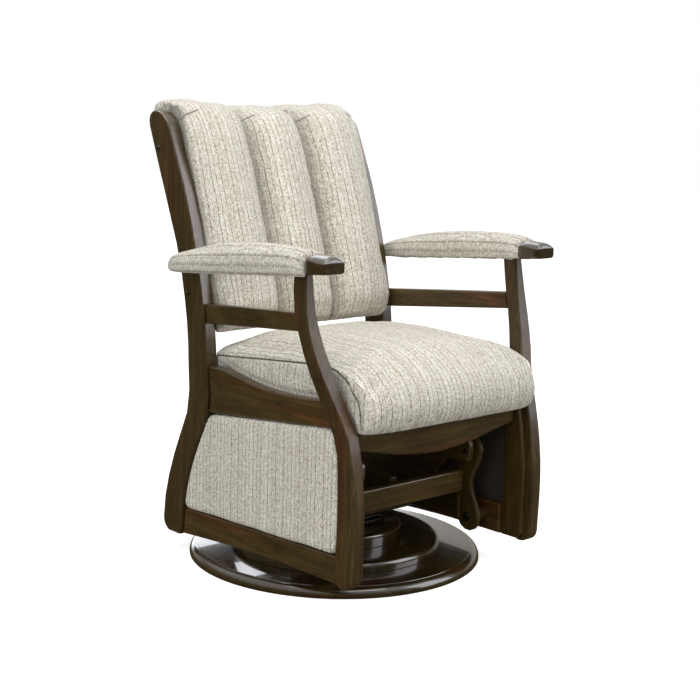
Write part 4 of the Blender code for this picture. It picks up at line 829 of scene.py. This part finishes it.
def dress_back():
    """Three rolled channels, sewn down between, with the top rolled over the frame."""
    piece = remeshed("back_cushion", "back_cushion_cover", BACK_VOXEL)
    x, up, forward = back_places(points(piece))
    sewn = (np.abs(np.abs(x) - BACK_SEAM_X) < BACK_SEWN) & (forward > BACK_BOARD_FORWARD)
    against_board = (forward < BACK_BOARD_FORWARD + HELD_LAYER) & (up < BACK_BOARD_UP)
    inflated(piece, sewn | against_board, pressure=4.0, cap=0.011)
    subdivided(piece)
    place = points(piece)
    x, up, forward = back_places(place)
    seam = kept_where(np.abs(x) - BACK_SEAM_X, forward > BACK_SEAM_FORWARD)
    dart = dart_distance(x, up, forward)
    sink = channel_sink(x, forward, seam) + bell(dart, DART_WIDTH) * DART_DEPTH
    place[:, 1] += cos(BACK_LEAN) * sink
    place[:, 2] -= sin(BACK_LEAN) * sink
    over_post = eased_step(forward, *OVER_POST_FORWARD) * eased_step(up, *OVER_POST_UP)
    over_post = np.clip(over_post + eased_step(up, *ABOVE_POST_UP), 0, 1)
    swell = BACK_OVERHANG * over_post * eased_step(np.abs(x), *OVER_POST_X)
    limit = BETWEEN_POSTS_X + BACK_OVERHANG * over_post
    place[:, 0] = np.clip(place[:, 0] + np.sign(x) * swell, -limit, limit)
    place[:, 2] += CORNER_RISE * eased_step(np.abs(x), *CORNER_X) * eased_step(up, *CORNER_UP)
    # Painted shade: on the flanks beside each seam, and in the gaps by the posts
    flank = FLANK_SHADE * bell(seam, FLANK_WIDTH)
    in_gap = eased_step(np.abs(x), *GAP_X) * (1 - eased_step(forward, *GAP_FORWARD)) * (up < GAP_UP)
    move_points(piece, place)
    creased(piece, scale=21.0, depth=0.0016)
    creased(piece, scale=60.0, depth=0.0006, seed=5.0)
    mark(piece, np.maximum(flank, GAP_SHADE * in_gap), seam, dart)
    lay_weave(piece, back_weave)


def seat_weave(place, facing, centre):
    on_side = (np.abs(facing[:, 0]) > SEAT_SIDE_FACING) & (np.abs(centre[:, 0]) > SEAT_SIDE_X)
    across = np.where(on_side, place[:, 1], place[:, 0])
    along = np.where(on_side, place[:, 2], place[:, 1] + place[:, 2])
    return across, along


def seat_limit(y, z):
    """How far out the seat reaches: over the scooped rails, but not into the posts and the legs."""
    leg_z, leg_front, leg_rear = np.array(LEG_EDGES).T
    above_rail = eased_step(z - read_off(RAIL_TOP, y), *RAIL_CLEARANCE)
    before_post = 1 - eased_step(y, *POST_Y)
    clear_of_leg = np.maximum(
        eased_step(y - np.interp(z, leg_z, leg_rear), *LEG_CLEARANCE_REAR),
        eased_step(np.interp(z, leg_z, leg_front) - y, *LEG_CLEARANCE_FRONT),
    )
    return BETWEEN_POSTS_X + SEAT_OVERHANG * above_rail * before_post * clear_of_leg


def dress_seat():
    """A crowned cushion. Its top panel runs down over the front, and the sides are boxed."""
    piece = remeshed("seat_cushion", "seat_cushion_cover", SEAT_VOXEL)
    place = points(piece)
    low_z = place[:, 2].min()
    seam = distance_to_line(place[:, 1:], SEAT_SEAM)
    sewn = (np.abs(seam) < SEAT_SEWN) & (np.abs(place[:, 0]) > SEAT_SEWN_X)
    inflated(piece, sewn | (place[:, 2] < low_z + HELD_LAYER), pressure=3.0, cap=0.009)
    subdivided(piece)
    place = points(piece)
    place[:, 1] += SEAT_REAR_GROWTH * eased_step(place[:, 1], *SEAT_REAR_Y)
    seam = distance_to_line(place[:, 1:], SEAT_SEAM)
    seam = kept_where(seam, np.clip((np.abs(place[:, 0]) - SEAT_SEAM_X) / SEAT_SEAM_FADE, 0, 1))
    limit = seat_limit(place[:, 1], place[:, 2])
    place[:, 0] = np.clip(place[:, 0], -limit, limit)
    place[:, 0] -= np.sign(place[:, 0]) * bell(seam, SEAM_WIDTH) * SEAM_DEPTH
    place[:, 2] = np.maximum(place[:, 2], low_z)
    move_points(piece, place)
    creased(piece, scale=15.0, depth=0.0014, seed=9.0)
    # Painted shade darkens the cloth along the seam's groove
    mark(piece, seam=seam)
    lay_weave(piece, seat_weave)


def pad_weave(middle, place, facing, centre):
    height = PAD_AXIS_Z - PAD_SLOPE * (place[:, 1] - PAD_AXIS_Y)
    turn = np.arctan2(place[:, 0] - middle, place[:, 2] - height)
    return turn * PAD_RADIUS, place[:, 1]


def dress_arm_pads():
    """Padding round each board, held flat underneath and narrower towards its front."""
    for side, sign in SIDES:
        node = "arm_pad_" + side
        low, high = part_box(node)
        middle = (low.x + high.x) / 2
        piece = remeshed(node, node + "_cover", PAD_VOXEL)
        place = points(piece)
        under = place[:, 2] < low.z + HELD_LAYER + PAD_SLOPE * (high.y - place[:, 1])
        inflated(piece, under, pressure=2.0, cap=0.0025, last_frame=12)
        subdivided(piece)
        place = points(piece)
        place[:, 1] = np.maximum(place[:, 1], low.y - PAD_OVERLAP)
        narrowing = PAD_TAPER * eased_step(-place[:, 1], -low.y - PAD_TAPER_LENGTH, -low.y)
        place[:, 0] = middle + (place[:, 0] - middle) * (1 - narrowing)
        move_points(piece, place)
        creased(piece, scale=24.0, depth=0.0009, seed=sign * 4.0)
        # Painted shade darkens the whole pad cover a little
        mark(piece, PAD_SHADE)
        lay_weave(piece, partial(pad_weave, middle))


def tip_places(grid, low, high):
    """Bends the points of a cube from -1 to 1 into an arm board and its tip."""
    across, along, up = grid.T
    behind = (high.y - low.y) * ((along + 1) / 2) ** TIP_CROWDING
    nose = quarter_round(behind, TIP_NOSE)
    brow = quarter_round(behind, TIP_BROW)
    core = eased_step(behind, TIP_LENGTH, TIP_LENGTH + CORE_START)
    half = (high.x - low.x) / 2 - NOSE_SIDE * (1 - nose) - CORE_SIDE * core
    under = read_off(TIP_UNDER, behind) + NOSE_UNDER * (1 - nose) + CORE_UNDER * core
    shoulder = read_off(TIP_SHOULDER, behind) - CORE_TOP * core
    crown = read_off(TIP_CROWN, behind) * brow * (1 - core)
    top = shoulder + crown * (1 - np.abs(across) ** DOME_POWER)
    lift = UNDER_LIFT * np.abs(across) ** ARRIS_POWER * (1 - up) / 2
    x = (low.x + high.x) / 2 + half * across * (1 - SIDE_TAPER * up ** ARRIS_POWER)
    y = low.y + behind - TIP_REACH * (1 - eased_step(behind, 0.0, TIP_REACH_LENGTH))
    z = under + (top - under) * (up + 1) / 2 + lift
    return np.stack([x, y, z], 1)


def dress_arm_boards():
    """Each board ends in a bare block: domed on top, scooped at the pad, with a bull-nosed front."""
    for side, _ in SIDES:
        node = "arm_board_" + side
        work = bmesh.new()
        bmesh.ops.create_cube(work, size=2)
        bmesh.ops.subdivide_edges(work, edges=work.edges, cuts=TIP_CUTS, use_grid_fill=True)
        name = node + "_shaped"
        piece = finished(name, mesh_from(work, name), wood_tip, body_of_node[node], node)
        move_points(piece, tip_places(points(piece), *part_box(node)))
        softened(piece, passes=2)


def side_panel_weave(place, facing, centre):
    return place[:, 1], place[:, 2]


def outside_back_weave(place, facing, centre):
    x, up, _ = back_places(place)
    return x, up


def dress_panels():
    """Flat padded panels in the side frames and behind the back."""
    for side, sign in SIDES:
        node = "side_panel_" + side
        piece = remeshed(node, node + "_cover", PANEL_VOXEL)
        creased(piece, scale=14.0, depth=0.0008, seed=sign * 2.0)
        low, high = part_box(node)
        inner = min(abs(low.x), abs(high.x))
        # Painted shade on each side panel's inner face, in the gap beside the seat
        mark(piece, 1 - eased_step(np.abs(points(piece)[:, 0]) - inner, *PANEL_DARK))
        lay_weave(piece, side_panel_weave)
    piece = remeshed("outside_back_panel", "outside_back_cover", PANEL_VOXEL)
    creased(piece, scale=10.0, depth=0.0008, seed=3.0)
    mark(piece)
    lay_weave(piece, outside_back_weave)


def dress_wood():
    kinds = (
        (POSTS, wood_post), (LEGS, wood_leg), (UPRIGHT, wood_upright), (LENGTHWISE, wood_lengthwise),
        (CROSSWISE, wood_crosswise),
    )
    for node in sorted(frame["nodes"]):
        for names, material in kinds:
            if node.startswith(names):
                eased(node, material)
    turned_disc("base_platter", wood_base, PLATTER_MOULDING, PLATTER_STEP)
    turned_disc("base_middle_disc", wood_base, MIDDLE_MOULDING)
    turned_disc("base_top_disc", wood_base, TOP_MOULDING)


def dress_metal():
    for node in sorted(frame["nodes"]):
        if "bolt" in node:
            eased(node, dark_bolt)
        elif node.startswith("swivel"):
            eased(node, zinc_plate)


def floor_paint():
    """White to the camera, and a warm dark ground in what the lacquer mirrors."""
    paint = Paint("floor", 0.9, specular_ior_level=0.0, emission_strength=1.0)
    seen = paint.node("ShaderNodeLightPath", output="Is Camera Ray")
    mirrored = paint.node("ShaderNodeLightPath", output="Is Glossy Ray")
    bounced = paint.mixed(mirrored, FLOOR_BOUNCED, FLOOR_MIRRORED)
    paint.feed("Base Color", paint.mixed(seen, bounced, FLOOR_SEEN))
    paint.feed("Emission Color", paint.mixed(seen, NO_GLOW, FLOOR_GLOW))
    return paint.material


def add_floor():
    work = bmesh.new()
    bmesh.ops.create_grid(work, x_segments=2, y_segments=2, size=FLOOR_HALF_SIDE)
    mesh = mesh_from(work, "floor")
    floor = bpy.data.objects.new("floor", mesh)
    floor.location = (0, 0, -FLOOR_DROP)
    bpy.context.scene.collection.objects.link(floor)
    mesh.materials.append(floor_paint())


def add_lamp(name, place, target, size, power, colour=(1.0, 1.0, 1.0), **visible):
    """A rectangular lamp that faces its target. It can be kept out of some kinds of rays."""
    lamp = bpy.data.lights.new(name, "AREA")
    lamp.shape = "RECTANGLE"
    lamp.size, lamp.size_y = size
    lamp.energy = power
    lamp.color = colour
    made = bpy.data.objects.new(name, lamp)
    made.location = place
    made.rotation_euler = (Vector(target) - Vector(place)).to_track_quat("-Z", "Y").to_euler()
    for ray, seen in visible.items():
        setattr(made, "visible_" + ray, seen)
    bpy.context.scene.collection.objects.link(made)


def add_lamps():
    add_lamp("overhead", place=(-0.3, -0.7, 3.4), target=(0, 0, 0.4), size=(2.6, 2.6), power=62)
    add_lamp("left", place=(-3.0, -1.2, 1.4), target=(0, 0, 0.5), size=(1.8, 1.8), power=29, glossy=False)
    add_lamp("front", place=(1.6, -3.2, 1.6), target=(0, 0, 0.5), size=(1.8, 1.8), power=16, glossy=False)
    add_lamp(
        "front_card", place=(2.7, -2.9, 2.3), target=(0, 0, 0.8), size=(2.6, 3.2), power=100,
        colour=CARD_COLOUR, diffuse=False,
    )


def add_sky():
    """White behind the chair. Lacquer mirrors a bright window over a dark horizon, and dark sides."""
    world = bpy.data.worlds.new("sky")
    world.use_nodes = True
    sky = Nodes(world.node_tree, "Background")
    seen = sky.node("ShaderNodeLightPath", output="Is Camera Ray")
    mirrored = sky.node("ShaderNodeLightPath", output="Is Glossy Ray")
    east, north, height = sky.parts(sky.node("ShaderNodeTexCoord", output="Generated"))
    turn = east / north.at_least(LEAST_NORTH)
    window = turn.between(*WINDOW_START) * (1.0 - turn.between(*WINDOW_END)) * height.between(*WINDOW_SILL)
    towards = (east * BACKDROP_EAST + north * BACKDROP_NORTH).between(*BACKDROP_SPREAD)
    backdrop = towards * height.between(*BACKDROP_SILL) * BACKDROP_SHARE
    overhead = height.between(*OVERHEAD) * OVERHEAD_SHARE
    mirror = sky.mixed(window.at_least(backdrop).at_least(overhead), MIRRORED_DARK, MIRRORED_BRIGHT)
    soft = sky.mixed(mirrored, SKY_LIGHT, mirror)
    sky.feed("Color", sky.mixed(seen, soft, SKY_SEEN))
    bpy.context.scene.world = world


def add_camera():
    ahead = cos(CAMERA_PITCH)
    forward = Vector((sin(CAMERA_YAW) * ahead, cos(CAMERA_YAW) * ahead, -sin(CAMERA_PITCH)))
    level = Vector((cos(CAMERA_YAW), -sin(CAMERA_YAW), 0.0))
    above = level.cross(forward)
    right = level * cos(CAMERA_ROLL) + above * sin(CAMERA_ROLL)
    up = above * cos(CAMERA_ROLL) - level * sin(CAMERA_ROLL)
    lens = bpy.data.cameras.new("photo_camera")
    lens.sensor_width = SENSOR
    lens.lens = FOCAL_PX * SENSOR / PHOTO_SIDE_PX
    camera = bpy.data.objects.new("photo_camera", lens)
    turn = Matrix((right, up, -forward)).transposed().to_4x4()
    camera.matrix_world = Matrix.Translation(CAMERA_PLACE) @ turn
    bpy.context.scene.collection.objects.link(camera)
    bpy.context.scene.camera = camera


cloth = tweed("cream_tweed")
wood_upright = stained_wood("stained_wood_upright", "Z")
wood_post = stained_wood("stained_wood_post", "Z", coat=0.65)
wood_leg = stained_wood("stained_wood_leg", "Z", gloss=0.42, coat=0.12)
# The rails and the aprons: the same stain with a larger shade, painted lighter as painted light
wood_lengthwise = stained_wood("stained_wood_lengthwise", "Y", shade=1.6)
wood_crosswise = stained_wood("stained_wood_crosswise", "X", shade=1.75)
wood_base = stained_wood(
    "stained_wood_base", "X", gloss=0.24, coat=1.0, coat_roughness=0.05, shade=0.85, redness=0.9, relief=0.01,
    tint=BASE_TINT,
)
wood_tip = stained_wood(
    "stained_wood_tip", "Y", gloss=0.22, coat=1.0, coat_roughness=0.10, shade=0.85, redness=0.0, relief=0.03,
)
zinc_plate = plated_steel("zinc_plate", ZINC, roughness=0.48)
dark_bolt = plated_steel("dark_bolt", BLACKENED, roughness=0.34)

bpy.context.scene.view_settings.view_transform = "Standard"
add_camera()
add_sky()
add_lamps()
add_floor()
dress_wood()
dress_metal()
dress_back()
dress_seat()
dress_arm_boards()
dress_arm_pads()
dress_panels()
